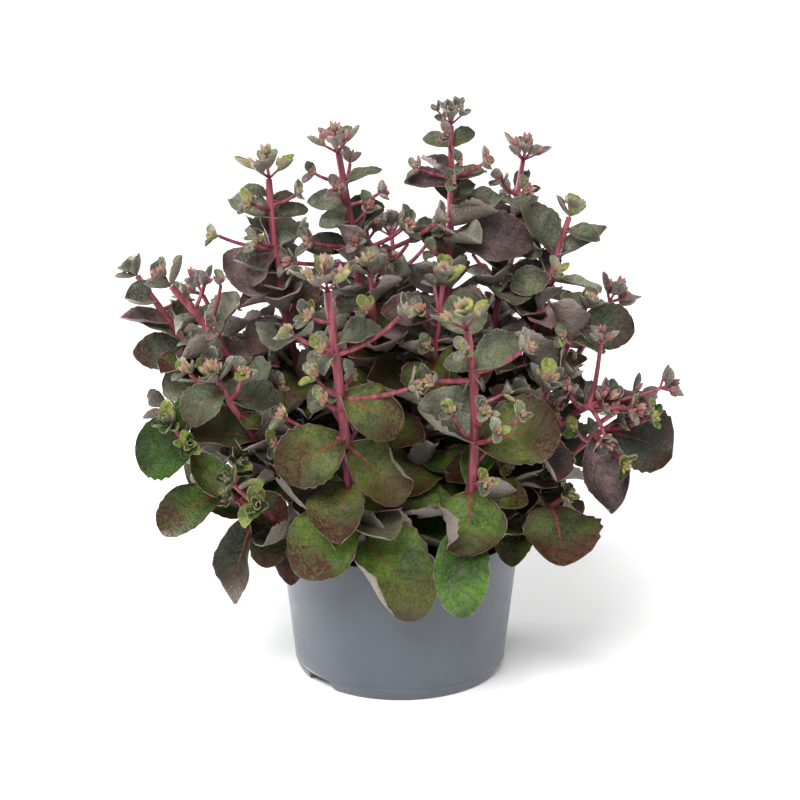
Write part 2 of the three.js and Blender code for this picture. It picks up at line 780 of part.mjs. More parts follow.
// A rod that ends in a head of buds: a small core with a pointed bud on each of its faces, and
// a cupped leaf on two of them.
const HEAD_CORE = 0.48;
const HEAD_RING = 0.89;
function budRod(rings, head) {
  const draw = randomFrom(head.key);
  const { side, other, forward, sides } = head;
  const core = head.radius * HEAD_CORE;
  const level = (lift) => add(head.at, mul(forward, core * lift));
  const corners = rings.flatMap((ring) => ring.corners);
  corners.push(...ringOf(level(-0.45), side, other, core * HEAD_RING, sides, 0));
  corners.push(...ringOf(level(0.45), side, other, core * HEAD_RING, sides, 0.5));
  corners.push(level(1));
  const faces = rodFaces(rings.length + 1, sides);
  const low = rings.length * sides;
  const high = low + sides;
  const pole = high + sides;
  const bud = (face, reach) => {
    const middle = mul(face.reduce((sum, i) => add(sum, corners[i]), [0, 0, 0]), 1 / 3);
    corners.push(add(head.at, mul(unit(sub(middle, head.at)), head.radius * reach)));
    const tip = corners.length - 1;
    faces.push([face[0], face[1], tip], [face[1], face[2], tip], [face[2], face[0], tip]);
  };
  const cups = cupLeaves(head);
  for (let k = 0; k < sides; k += 1) {
    const next = (k + 1) % sides;
    bud([low + k, low + next, high + k], mix(0.8, 1, draw()));
    const cup = cups.find((leaf) => leaf.k === k);
    if (cup) {
      const { left, right, hollow, keel, tip } = cupCorners(cup);
      const [l, r, h, u, t] = [0, 1, 2, 3, 4].map((i) => corners.length + i);
      corners.push(left, right, hollow, keel, tip);
      faces.push([low + next, high + next, l, u], [high + k, low + next, u, r]);
      faces.push([high + next, high + k, r, h, l]);
      faces.push([l, h, t], [h, r, t], [r, u, t], [u, l, t]);
    } else {
      bud([low + next, high + next, high + k], mix(0.85, 1.1, draw()));
    }
    bud([high + k, high + next, pole], mix(0.85, 1.1, draw()));
  }
  return solidFrom(corners, faces);
}

// Rows of a leaf's faces as shares of its length, and how far its edge stands out at each:
// the edge goes in and out by turns, as its blunt teeth do.
const LARGE_ROWS = [[0.14, 0.97], [0.36, 1.04], [0.58, 0.96], [0.79, 1.05], [0.93, 0.93]];
const MIDDLE_ROWS = [[0.18, 0.97], [0.46, 1.04], [0.72, 0.96], [0.91, 1.0]];
const SMALL_ROWS = [[0.28, 0.98], [0.6, 1.03], [0.87, 0.96]];
const TINY_ROWS = [[0.3, 0.98], [0.75, 1.0]];

// A leaf as a closed blade: thin at its edge, thick along its middle, both faces cut alike.
function bladeSolid(leaf, rows, thick) {
  const points = [leafPoint(leaf, 0, 0)];
  for (const [t, out] of rows) {
    const middle = leafPoint(leaf, t, 0);
    const half = mul(leaf.up, thick / 2);
    points.push(leafPoint(leaf, t, -out), leafPoint(leaf, t, out), add(middle, half), sub(middle, half));
  }
  points.push(leafPoint(leaf, 1, 0));
  const tip = points.length - 1;
  const faces = [];
  const first = { right: 1, left: 2, top: 3, under: 4 };
  faces.push([0, first.right, first.top], [0, first.top, first.left]);
  faces.push([0, first.under, first.right], [0, first.left, first.under]);
  for (let i = 0; i + 1 < rows.length; i += 1) {
    const a = 1 + 4 * i;
    const b = a + 4;
    faces.push([a, b, b + 2], [a, b + 2, a + 2], [a + 2, b + 2, b + 1], [a + 2, b + 1, a + 1]);
    faces.push([a, b + 3, b], [a, a + 3, b + 3], [a + 3, b + 1, b + 3], [a + 3, a + 1, b + 1]);
  }
  const z = tip - 4;
  faces.push([z, tip, z + 2], [z + 2, tip, z + 1], [z, z + 3, tip], [z + 3, z + 1, tip]);
  return solidFrom(points, faces);
}

function leafSolid(leaf) {
  if (leaf.long >= LARGE_LEAF) return bladeSolid(leaf, LARGE_ROWS, LEAF_THICK);
  if (leaf.long >= MIDDLE_LEAF) return bladeSolid(leaf, MIDDLE_ROWS, LEAF_THICK);
  const rows = leaf.long >= SMALL_LEAF ? SMALL_ROWS : TINY_ROWS;
  return bladeSolid(leaf, rows, mix(THIN_LEAF, LEAF_THICK, leaf.long / MIDDLE_LEAF));
}

// Points along a curve, as few as keep the straight runs between them close to it.
function curvePoints(curve) {
  const bow = add(sub(curve.root, mul(curve.bend, 2)), curve.top);
  const steps = Math.max(2, Math.ceil(Math.sqrt(Math.sqrt(dot(bow, bow)) / 8 / STEM_ERROR)));
  return Array.from({ length: steps + 1 }, (_, i) => curvePoint(curve, i / steps));
}

// The rings of a stem, which thins towards its top, and those of a shoot.
function stemRings(stem) {
  const foot = [stem.root[0], stem.root[1], SOIL_TOP - STEM_DEPTH];
  const path = [foot, ...curvePoints(stem)];
  const radii = path.map((_, i) => (stem.thick / 2) * mix(1.1, STEM_TAPER, i / (path.length - 1)));
  return ringsAlong(path, radii, STEM_SIDES);
}

function shootRings(shoot) {
  const path = [0, 0.55, 1].map((t) => curvePoint(shoot, t));
  return ringsAlong(path, SHOOT_RADII, SHOOT_SIDES);
}

// A whole stem: the stem itself, its shoots, its leaves and its heads, grown together.
function stemSolid(stem) {
  const parts = [stem, ...stem.shoots].map((curve) => budRod(curve.rings, curve.headShape));
  for (const leaf of stem.blades) parts.push(leafSolid(leaf));
  return wasm.Manifold.union(parts);
}

// A solid turned from a profile of [radius, height] points.
function turned(profile, sides) {
  const points = profile.map(([r, z]) => new THREE.Vector2(r, z));
  const geometry = new THREE.LatheGeometry(points, sides);
  geometry.rotateX(Math.PI / 2);
  return solidFromGeometry(geometry);
}

// The pot: a tapered wall with a rounded, notched foot, a raised floor with a round boss in its
// middle that stands level with the foot, and drain holes.
function potSolid() {
  const inner = (height) => potRadius(height) - WALL;
  const body = turned([
    [0, 0],
    [BOSS_RADIUS, 0],
    [BOSS_RADIUS + 1, POT_FLOOR_BOTTOM],
    [FOOT_RADIUS - 2 * WALL, POT_FLOOR_BOTTOM],
    [FOOT_RADIUS - 2 * WALL, 0],
    [FOOT_RADIUS, 0],
    [potRadius(FOOT_ROUND_HEIGHT), FOOT_ROUND_HEIGHT],
    [RIM_RADIUS, POT_HEIGHT],
    [RIM_RADIUS - WALL, POT_HEIGHT],
    [inner(POT_FLOOR_TOP), POT_FLOOR_TOP],
    [0, POT_FLOOR_TOP],
  ], POT_SIDES);
  const cuts = NOTCH_MIDDLES.map((middle) => notchSolid(middle));
  for (let i = 0; i < DRAIN_COUNT; i += 1) {
    const turn = radians((360 * i) / DRAIN_COUNT + 20);
    const hole = new THREE.CylinderGeometry(DRAIN_RADIUS, DRAIN_RADIUS, 8, 6);
    hole.rotateX(Math.PI / 2);
    hole.translate(DRAIN_CIRCLE * Math.cos(turn), DRAIN_CIRCLE * Math.sin(turn), POT_FLOOR_TOP);
    cuts.push(solidFromGeometry(hole));
  }
  return body.subtract(wasm.Manifold.union(cuts));
}

// A notch of the foot: a block across the wall whose two sides lean apart towards the floor.
function notchSolid(middle) {
  const steps = 4;
  const points = [];
  const radii = [FOOT_RADIUS - 12, FOOT_RADIUS + 8];
  for (let i = 0; i <= steps; i += 1) {
    for (const [height, span] of [[-2, NOTCH_SPAN], [NOTCH_HEIGHT, NOTCH_TOP_SPAN]]) {
      const turn = radians(middle + (i / steps - 0.5) * span);
      for (const radius of radii) {
        points.push([radius * Math.cos(turn), radius * Math.sin(turn), height]);
      }
    }
  }
  const faces = [[0, 1, 3, 2]];
  for (let i = 0; i < steps; i += 1) {
    const a = 4 * i;
    const b = a + 4;
    faces.push([a, b, b + 1, a + 1], [a + 2, a + 3, b + 3, b + 2]);
    faces.push([a, a + 2, b + 2, b], [a + 1, b + 1, b + 3, a + 3]);
  }
  const end = 4 * steps;
  faces.push([end, end + 2, end + 3, end + 1]);
  return solidFrom(points, faces);
}

// The soil: it fills the pot to a low crown, with a plain hole for each stem.
function soilSolid(stems) {
  const wall = (height) => potRadius(height) - WALL - FIT_GAP;
  const bottom = POT_FLOOR_TOP + FIT_GAP;
  const body = turned([
    [0, bottom],
    [wall(bottom) - 0.5, bottom],
    [wall(SOIL_TOP) - 0.2, SOIL_TOP],
    [48, SOIL_TOP + SOIL_CROWN * 0.7],
    [0, SOIL_TOP + SOIL_CROWN],
  ], POT_SIDES * 0.6);
  const holes = stems.map((stem) => {
    const radius = (stem.thick / 2) * 1.1 + 2 * FIT_GAP;
    const low = [stem.root[0], stem.root[1], SOIL_TOP - STEM_DEPTH - FIT_GAP];
    const high = [stem.root[0], stem.root[1], SOIL_TOP + 3 * SOIL_CROWN];
    return rod([low, high], [radius, radius], STEM_SIDES);
  });
  return body.subtract(wasm.Manifold.union(holes));
}

function meshOf(name, solid, [colour, roughness]) {
  const material = new THREE.MeshStandardMaterial({ color: colour, roughness, metalness: 0 });
  const mesh = new THREE.Mesh(geometryFrom(solid), material);
  mesh.name = name;
  return mesh;
}

const plant = new THREE.Group();
const stems = growPlant();
plant.add(meshOf('pot', potSolid(), COLOURS.pot));
plant.add(meshOf('soil', soilSolid(stems), COLOURS.soil));
for (const stem of stems) {
  const colour = stem.top[2] > 250 ? COLOURS.upper : stem.top[2] > 200 ? COLOURS.middle : COLOURS.lower;
  plant.add(meshOf(stem.name, stemSolid(stem), colour));
}

export default plant;
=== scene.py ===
"""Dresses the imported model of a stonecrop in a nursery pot: fine leaves, buds, pot, soil and light."""

import logging
import math
from dataclasses import dataclass, field, replace
from enum import Enum
from typing import Iterable, Sequence

import bpy
import numpy as np
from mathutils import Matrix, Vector


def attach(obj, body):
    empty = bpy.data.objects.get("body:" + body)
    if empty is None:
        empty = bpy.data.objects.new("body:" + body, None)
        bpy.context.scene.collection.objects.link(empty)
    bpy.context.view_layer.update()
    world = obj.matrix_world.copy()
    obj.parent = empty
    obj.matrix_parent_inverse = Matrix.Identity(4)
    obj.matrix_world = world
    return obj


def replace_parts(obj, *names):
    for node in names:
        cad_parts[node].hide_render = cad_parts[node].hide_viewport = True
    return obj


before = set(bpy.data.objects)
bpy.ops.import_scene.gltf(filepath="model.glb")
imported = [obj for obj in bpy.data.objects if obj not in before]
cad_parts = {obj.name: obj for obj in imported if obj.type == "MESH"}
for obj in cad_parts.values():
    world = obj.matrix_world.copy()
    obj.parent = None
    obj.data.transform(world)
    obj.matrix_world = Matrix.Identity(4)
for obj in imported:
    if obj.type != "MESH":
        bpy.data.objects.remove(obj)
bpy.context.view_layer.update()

Vec = np.ndarray
Triple = tuple[float, float, float]
Socket = bpy.types.NodeSocket
Material = bpy.types.Material
LOG = logging.getLogger("stonecrop")
MM = 0.001
GOLDEN_TURN = 2.39996


class Tint(Enum):
    """The colour of a leaf's upper face, as linear red, green and blue."""

    GREY = (0.086, 0.1, 0.055)
    SILVER = (0.15, 0.16, 0.11)
    PURPLE = (0.08, 0.055, 0.052)
    MAUVE = (0.15, 0.1, 0.098)
    DARK = (0.036, 0.042, 0.023)
    OLIVE = (0.062, 0.074, 0.011)
    GREEN = (0.056, 0.1, 0.008)
    BRIGHT = (0.034, 0.085, 0.006)
    LIME = (0.2, 0.24, 0.05)


GREY, SILVER, PURPLE, MAUVE, DARK, OLIVE, GREEN, BRIGHT, LIME = Tint


class HeadKind(Enum):
    """What a head of buds looks like."""

    CUP = "buds held in a cup of leaves"
    CLUSTER = "bunches of buds on short stalks"
    SPRAY = "small pointed leaflets on thin stalks"
    LEAFY = "a rosette of young leaves"


CUP, CLUSTER, SPRAY, LEAFY = HeadKind


class BudHue(Enum):
    """The two colours of the buds of a head, as linear red, green and blue."""

    CREAM = ((0.3, 0.31, 0.13), (0.36, 0.22, 0.16))
    ROSY = ((0.24, 0.1, 0.09), (0.34, 0.22, 0.16))
    FRESH = ((0.19, 0.24, 0.055), (0.32, 0.34, 0.1))


CREAM, ROSY, FRESH = BudHue


@dataclass(frozen=True)
class StemPlan:
    """Where a stem stands and what it carries, in millimetres and degrees.

    A leaf row holds the height of its root, heading, pitch, length, width, roll, cup and tint, a
    pair row its height, the heading of its first leaf and its length, and a shoot row its height,
    tip and the size of its buds. A stem with no thickness of its own is one of the plain back ones.
    """

    name: str
    root: tuple[float, float]
    bend: Triple
    top: Triple
    thick: float = 0.0
    head: float = 0.95
    leaves: tuple[tuple, ...] = ()
    pairs: tuple[Triple, ...] = ()
    shoots: tuple[tuple, ...] = ()
    heads: tuple[HeadKind, HeadKind] = (CLUSTER, CUP)
    hue: BudHue = ROSY


PLANS = (
    StemPlan(
        "stem_front_left", (-30, -57), (-34, -90, 190), (-47, -95, 300), 8.8, 1.15,
        ((262, 5, 8, 33, 20, 30, 0.15, GREY), (258, 215, -50, 18, 12, 0, 0.15, SILVER),
         (228, 345, -32, 47, 38, 45, 0.1, OLIVE), (226, 170, -15, 24, 18, -50, 0.15, GREY),
         (196, 195, -22, 52, 42, -60, 0.12, OLIVE), (190, 338, -38, 54, 42, 45, 0.2, OLIVE),
         (140, 203, -40, 59, 48, -35, 0.05, GREEN), (128, 320, -42, 80, 56, 22, 0.06, GREEN)),
        ((158, 80, 49),),
        ((256, (0, -98, 284), 0.8), (224, (5, -102, 236), 0.8), (226, (-54, -96, 240), 0.7),
         (258, (-69, -88, 268), 0.8), (195, (-74, -88, 210), 0.7)),
        heads=(CLUSTER, CUP), hue=CREAM,
    ),
    StemPlan(
        "stem_front_right", (39, -55), (58, -88, 190), (44, -82, 270), 8.2, 1,
        ((243, 8, 26, 39, 26, 45, 0.25, GREY), (243, 170, 12, 20, 15, -40, 0.15, GREY),
         (238, 200, -55, 14, 7, 0, 0.1, GREEN), (238, 335, -55, 14, 7, 0, 0.1, GREEN),
         (191, 172, 35, 46, 38, -40, 0.35, SILVER), (191, 4, 10, 58, 48, 62, 0.12, OLIVE),
         (154, 262, -57, 45, 55, 0, 0.12, GREEN), (155, 60, 40, 36, 26, 0, 0.2, BRIGHT),
         (132, 264, -55, 69, 38, 0, 0.05, BRIGHT)),
        ((120, 100, 56),),
        ((241, (79, -92, 258), 0.8), (236, (24, -97, 240), 0.7), (191, (35, -98, 216), 0.5),
         (191, (63, -106, 206), 0.5), (190, (78, -98, 214), 0.5)),
        heads=(CLUSTER, CUP), hue=CREAM,
    ),
    StemPlan(
        "stem_centre_left", (-12, 8), (-20, 22, 240), (-42, 20, 366), 7.6, 1,
        ((345, 5, 20, 28, 10, 30, 0.15, GREY), (330, 180, 5, 28, 16, -50, 0.2, SILVER),
         (318, 185, -5, 22, 16, -40, 0.2, SILVER), (300, 350, -35, 28, 18, 40, 0.4, MAUVE),
         (300, 182, 0, 36, 18, -50, 0.2, DARK)),
        ((262, 100, 42), (226, 10, 49), (190, 95, 53)),
        ((346, (-57, 9, 354), 0.4), (330, (-41, 6, 342), 0.6), (300, (-59, 0, 308), 0.7),
         (288, (-72, 4, 293), 0.7), (292, (24, 14, 318), 0.9), (298, (1, 6, 316), 0.9)),
        heads=(CLUSTER, CUP), hue=ROSY,
    ),
    StemPlan(
        "stem_centre_tall", (20, 22), (38, 40, 250), (35, 40, 381), 7.2, 0.85,
        ((366, 170, 15, 21, 13, -40, 0.2, GREY), (366, 20, 35, 20, 14, 40, 0.3, GREY),
         (340, 185, 4, 33, 18, -45, 0.2, PURPLE), (343, 8, 12, 26, 12, 30, 0.2, GREY),
         (320, 12, 12, 40, 18, 45, 0.25, SILVER), (328, 30, 30, 22, 16, 30, 0.2, GREY),
         (300, 358, -2, 58, 38, 50, 0.15, PURPLE)),
        ((262, 80, 46), (226, 170, 51), (188, 85, 56)),
        ((345, (56, 34, 355), 0.55), (345, (14, 34, 352), 0.5)),
        heads=(SPRAY, CUP), hue=ROSY,
    ),
    StemPlan(
        "stem_centre_right", (42, 34), (70, 56, 250), (86, 60, 352), 6, 0.9,
        ((330, 60, 40, 20, 12, 0, 0.2, GREY), (322, 200, 20, 26, 16, -30, 0.2, SILVER)),
        ((292, 20, 39), (258, 110, 49), (222, 20, 53), (184, 105, 56)),
        ((328, (72, 54, 338), 0.5),),
        heads=(CLUSTER, CUP), hue=ROSY,
    ),
    StemPlan(
        "stem_right_back", (56, 14), (86, 34, 215), (118, 42, 316), 6.6, 0.9,
        ((306, 120, 60, 30, 24, 0, 0.2, GREEN), (306, 350, -12, 26, 14, 40, 0.2, GREY),
         (288, 155, 42, 44, 28, -30, 0.2, GREY), (288, 8, 26, 43, 16, 35, 0.25, SILVER),
         (274, 200, -14, 30, 22, -50, 0.2, GREY), (272, 355, -10, 38, 12, 20, 0.1, SILVER)),
        ((240, 80, 49), (206, 170, 51), (172, 80, 53)),
        heads=(CUP, CUP), hue=CREAM,
    ),
    StemPlan(
        "stem_right_middle", (64, 4), (98, 12, 190), (128, 6, 260), 5.6, 0.7,
        ((248, 345, -2, 40, 34, 60, 0.12, DARK), (250, 110, 50, 34, 26, 0, 0.2, GREY),
         (236, 235, 60, 38, 32, 0, 0.2, MAUVE), (236, 350, -15, 26, 12, 30, 0.1, GREY)),
        ((204, 30, 46), (172, 110, 51), (140, 30, 53)),
        heads=(CUP, CUP), hue=CREAM,
    ),
    StemPlan(
        "stem_right_front", (50, -26), (78, -44, 165), (96, -56, 220), 5.6, 0.95,
        ((212, 40, 35, 28, 20, 0, 0.2, GREEN), (212, 220, 20, 26, 18, 0, 0.3, SILVER)),
        ((184, 130, 42), (150, 40, 51), (118, 120, 51)),
        heads=(CUP, CUP), hue=CREAM,
    ),
    StemPlan(
        "stem_right_wide", (60, -14), (90, -10, 180), (134, -40, 206), 6.2, 0.8,
        ((201, 25, 30, 38, 22, 20, 0.2, PURPLE), (200, 350, -6, 48, 20, 30, 0.2, MAUVE)),
        ((168, 60, 46), (136, 150, 51)),
        ((203, (136, -34, 246), 0.8), (200, (115, -46, 214), 0.7), (204, (177, -32, 214), 0.9),
         (204, (154, -54, 207), 0.7), (203, (138, -58, 190), 0.7)),
        heads=(CLUSTER, CLUSTER), hue=ROSY,
    ),
    StemPlan(
        "stem_right_low", (68, -6), (108, -20, 160), (148, -32, 190), 5.6, 0.5,
        ((184, 352, -18, 50, 46, 60, 0.1, DARK), (178, 288, -52, 56, 34, 10, 0.2, MAUVE),
         (160, 110, 10, 44, 36, 0, 0.15, GREY)),
        ((126, 40, 51),),
        ((184, (168, -46, 197), 0.7), (178, (150, -60, 172), 0.6)),
        heads=(LEAFY, CUP), hue=FRESH,
    ),
    StemPlan(
        "stem_right_hanging", (61, -33), (88, -46, 122), (111, -57, 144), 5.4, 0.3,
        ((136, 283, -38, 47, 54, 0, 0.08, OLIVE), (124, 240, -40, 38, 30, 0, 0.15, GREEN)),
        ((112, 60, 46),),
        heads=(LEAFY, CUP), hue=FRESH,
    ),
    StemPlan(
        "stem_left_tall", (-40, 16), (-84, 12, 230), (-90, 20, 348), 7.8, 1.1,
        ((333, 20, 10, 20, 10, 30, 0.2, GREY), (335, 165, 15, 22, 9, -30, 0.2, GREY),
         (321, 168, 25, 34, 20, -40, 0.25, SILVER), (321, 10, 18, 26, 14, 40, 0.2, GREY),
         (296, 200, -50, 28, 18, -40, 0.3, MAUVE), (296, 300, -30, 16, 8, 0, 0.2, GREY),
         (262, 162, 36, 54, 32, -50, 0.1, MAUVE), (268, 345, 0, 28, 24, 50, 0.1, DARK)),
        ((236, 80, 46), (202, 170, 51), (168, 80, 53), (134, 170, 53)),
        ((299, (-124, 8, 311), 0.5), (330, (-72, 16, 338), 0.4)),
        heads=(CLUSTER, CUP), hue=CREAM,
    ),
    StemPlan(
        "stem_left_upper", (-54, -6), (-98, -8, 215), (-156, -10, 280), 7.4, 1.1,
        ((259, 200, -40, 20, 15, 0, 0.2, SILVER), (241, 182, -6, 28, 12, -20, 0.2, GREY),
         (243, 20, 62, 36, 22, 30, 0.3, SILVER), (246, 150, 70, 32, 16, 0, 0.2, GREY)),
        ((214, 290, 46), (182, 20, 51), (150, 290, 53)),
        ((250, (-122, -14, 282), 0.5),),
        heads=(CUP, CUP), hue=ROSY,
    ),
    StemPlan(
        "stem_far_left", (-58, 22), (-122, 0, 196), (-182, 18, 280), 6.8, 0.8,
        ((262, 190, 15, 24, 20, -40, 0.4, SILVER), (246, 178, 8, 38, 14, -25, 0.2, MAUVE),
         (226, 183, 2, 42, 27, -60, 0.1, DARK), (236, 172, 20, 38, 18, -30, 0.2, SILVER),
         (206, 186, -8, 36, 28, -55, 0.12, GREY)),
        ((190, 90, 49), (160, 180, 53), (130, 90, 53)),
        heads=(CUP, CUP), hue=CREAM,
    ),
    StemPlan(
        "stem_left_front", (-46, -34), (-86, -60, 165), (-120, -80, 234), 6.8, 1,
        ((228, 205, -35, 34, 28, -40, 0.2, GREY), (220, 350, -10, 34, 24, 40, 0.2, GREY),
         (208, 330, -20, 18, 14, 40, 0.2, GREEN)),
        ((188, 190, 42), (156, 280, 49)),
        ((222, (-138, -84, 240), 0.7), (220, (-104, -92, 240), 0.7)),
        heads=(CUP, CUP), hue=CREAM,
    ),
    StemPlan(
        "stem_left_green", (-64, -20), (-112, -48, 128), (-150, -86, 204), 6, 0.7,
        ((184, 185, 5, 38, 42, -70, 0.2, BRIGHT), (192, 40, 75, 36, 20, 0, 0.3, BRIGHT),
         (184, 320, -50, 36, 22, 30, 0.3, GREEN), (150, 192, -30, 54, 32, -50, 0.15, GREEN)),
        ((130, 100, 49),),
        heads=(LEAFY, LEAFY), hue=FRESH,
    ),
    StemPlan(
        "stem_left_yellow", (-42, -54), (-84, -92, 138), (-110, -108, 172), 4.4, 0.4,
        ((168, 150, 30, 18, 10, 0, 0.2, LIME), (168, 340, 20, 18, 10, 0, 0.2, LIME),
         (156, 250, -40, 20, 11, 0, 0.2, LIME), (156, 60, 50, 18, 10, 0, 0.2, LIME)),
        heads=(LEAFY, LEAFY), hue=FRESH,
    ),
    StemPlan(
        "stem_left_low", (-60, -42), (-84, -60, 132), (-112, -72, 148), 5.4, 0.3,
        ((138, 228, -70, 66, 27, -10, 0.15, DARK), (138, 285, -38, 42, 34, -20, 0.15, OLIVE),
         (128, 300, -58, 46, 24, 0, 0.1, DARK), (146, 330, -10, 46, 34, 50, 0.15, OLIVE)),
        ((116, 140, 46),),
        heads=(LEAFY, LEAFY), hue=FRESH,
    ),
    StemPlan(
        "stem_centre_front", (12, -16), (20, -18, 200), (29, -20, 284), 5.4, 1,
        ((262, 182, 5, 40, 24, -50, 0.2, PURPLE), (258, 5, 15, 34, 32, 65, 0.12, GREY),
         (268, 12, 48, 32, 20, 20, 0.3, GREY)),
        ((226, 95, 51), (190, 5, 56), (154, 275, 58)),
        heads=(CUP, CUP), hue=CREAM,
    ),
    StemPlan(
        "stem_centre_middle", (-10, -16), (-14, -12, 200), (-20, -12, 288), 5.4, 1,
        (),
        ((264, 180, 30), (232, 90, 46), (198, 180, 53), (160, 270, 58)),
        heads=(CUP, CUP), hue=CREAM,
    ),
    StemPlan("stem_back_left", (-30, 42), (-60, 72, 200), (-78, 96, 282)),
    StemPlan("stem_back_middle", (4, 50), (0, 90, 210), (-6, 128, 280)),
    StemPlan("stem_back_right", (36, 54), (62, 84, 200), (84, 118, 274)),
    StemPlan("stem_back_far_right", (64, 34), (110, 60, 180), (150, 78, 244)),
    StemPlan("stem_back_far_left", (-60, 38), (-105, 66, 180), (-142, 84, 248)),
    StemPlan("stem_back_lower_left", (-20, 62), (-40, 100, 168), (-62, 158, 210)),
    StemPlan("stem_back_lower_right", (22, 66), (44, 104, 166), (72, 160, 204)),
    StemPlan("stem_back_centre", (0, 30), (-10, 60, 220), (-22, 72, 292)),
    StemPlan("stem_right_side", (68, 8), (104, 10, 156), (164, 44, 178)),
    StemPlan("stem_left_side", (-67, 2), (-92, 16, 160), (-160, 42, 176)),
    StemPlan("stem_back_hanging_left", (-46, 50), (-68, 84, 150), (-106, 138, 160)),
    StemPlan("stem_back_hanging_right", (48, 50), (74, 84, 150), (118, 130, 160)),
)


class Series:
    """A seeded series of numbers."""

    MODULUS = 2147483647

    def __init__(self, seed: int) -> None:
        """Starts the series that a whole number fixes."""
        self.state = (seed * 7919 + 12345) % self.MODULUS

    def draw(self) -> float:
        """The next number, from 0 to 1."""
        self.state = self.state * 16807 % self.MODULUS
        return self.state / self.MODULUS

    def between(self, low: float, high: float) -> float:
        """The next number, spread from low to high."""
        return mix(low, high, self.draw())


def mix(a: float, b: float, share: float) -> float:
    """The number at a share of the way from a to b."""
    return a + (b - a) * share


def unit(v: Vec) -> Vec:
    """The vector of length one along v."""
    return v / math.sqrt(float(v @ v))


def vec(*numbers: float) -> Vec:
    """A vector of plain numbers."""
    return np.array(numbers, float)


def tube_rings(points: Vec, radii: Vec, sides: int) -> tuple[Vec, Vec, Vec, Vec]:
    """Rings of points round a line, none twisted against the last.

    Args:
        points: The line, one point a row.
        radii: The radius at each of its points.
        sides: How many points a ring has.

    Returns:
        The rings, and the side, other and forward directions of the last one.
    """
    side = vec(1, 0, 0)
    rings = []
    turns = 2 * math.pi * np.arange(sides) / sides
    for i, point in enumerate(points):
        forward = unit(points[min(len(points) - 1, i + 1)] - points[max(0, i - 1)])
        side = unit(side - forward * float(side @ forward))
        other = np.cross(forward, side)
        out = np.cos(turns)[:, None] * side + np.sin(turns)[:, None] * other
        rings.append(point + out * radii[i])
    return np.array(rings), side, other, forward


@dataclass
class Curve:
    """A stem or shoot in space: a curve from its root, drawn to its bend, to its top."""

    root: Vec
    bend: Vec
    top: Vec

    def point(self, t: float) -> Vec:
        """The point at share t of the curve."""
        return self.root * (1 - t) ** 2 + self.bend * (2 * t * (1 - t)) + self.top * t * t

    def points(self, shares: Iterable[float]) -> Vec:
        """The points at several shares, one row each."""
        return np.array([self.point(t) for t in shares])

    def direction(self, t: float) -> Vec:
        """The unit direction of growth at share t."""
        return unit((self.bend - self.root) * (1 - t) + (self.top - self.bend) * t)

    def share_at(self, height: float) -> float:
        """The share at which a rising curve passes a height.

        Args:
            height: The height, in millimetres.

        Returns:
            The share.
        """
        low, high = 0.0, 1.0
        for _ in range(30):
            middle = (low + high) / 2
            below = self.point(middle)[2] < height
            low, high = (middle, high) if below else (low, middle)
        return (low + high) / 2


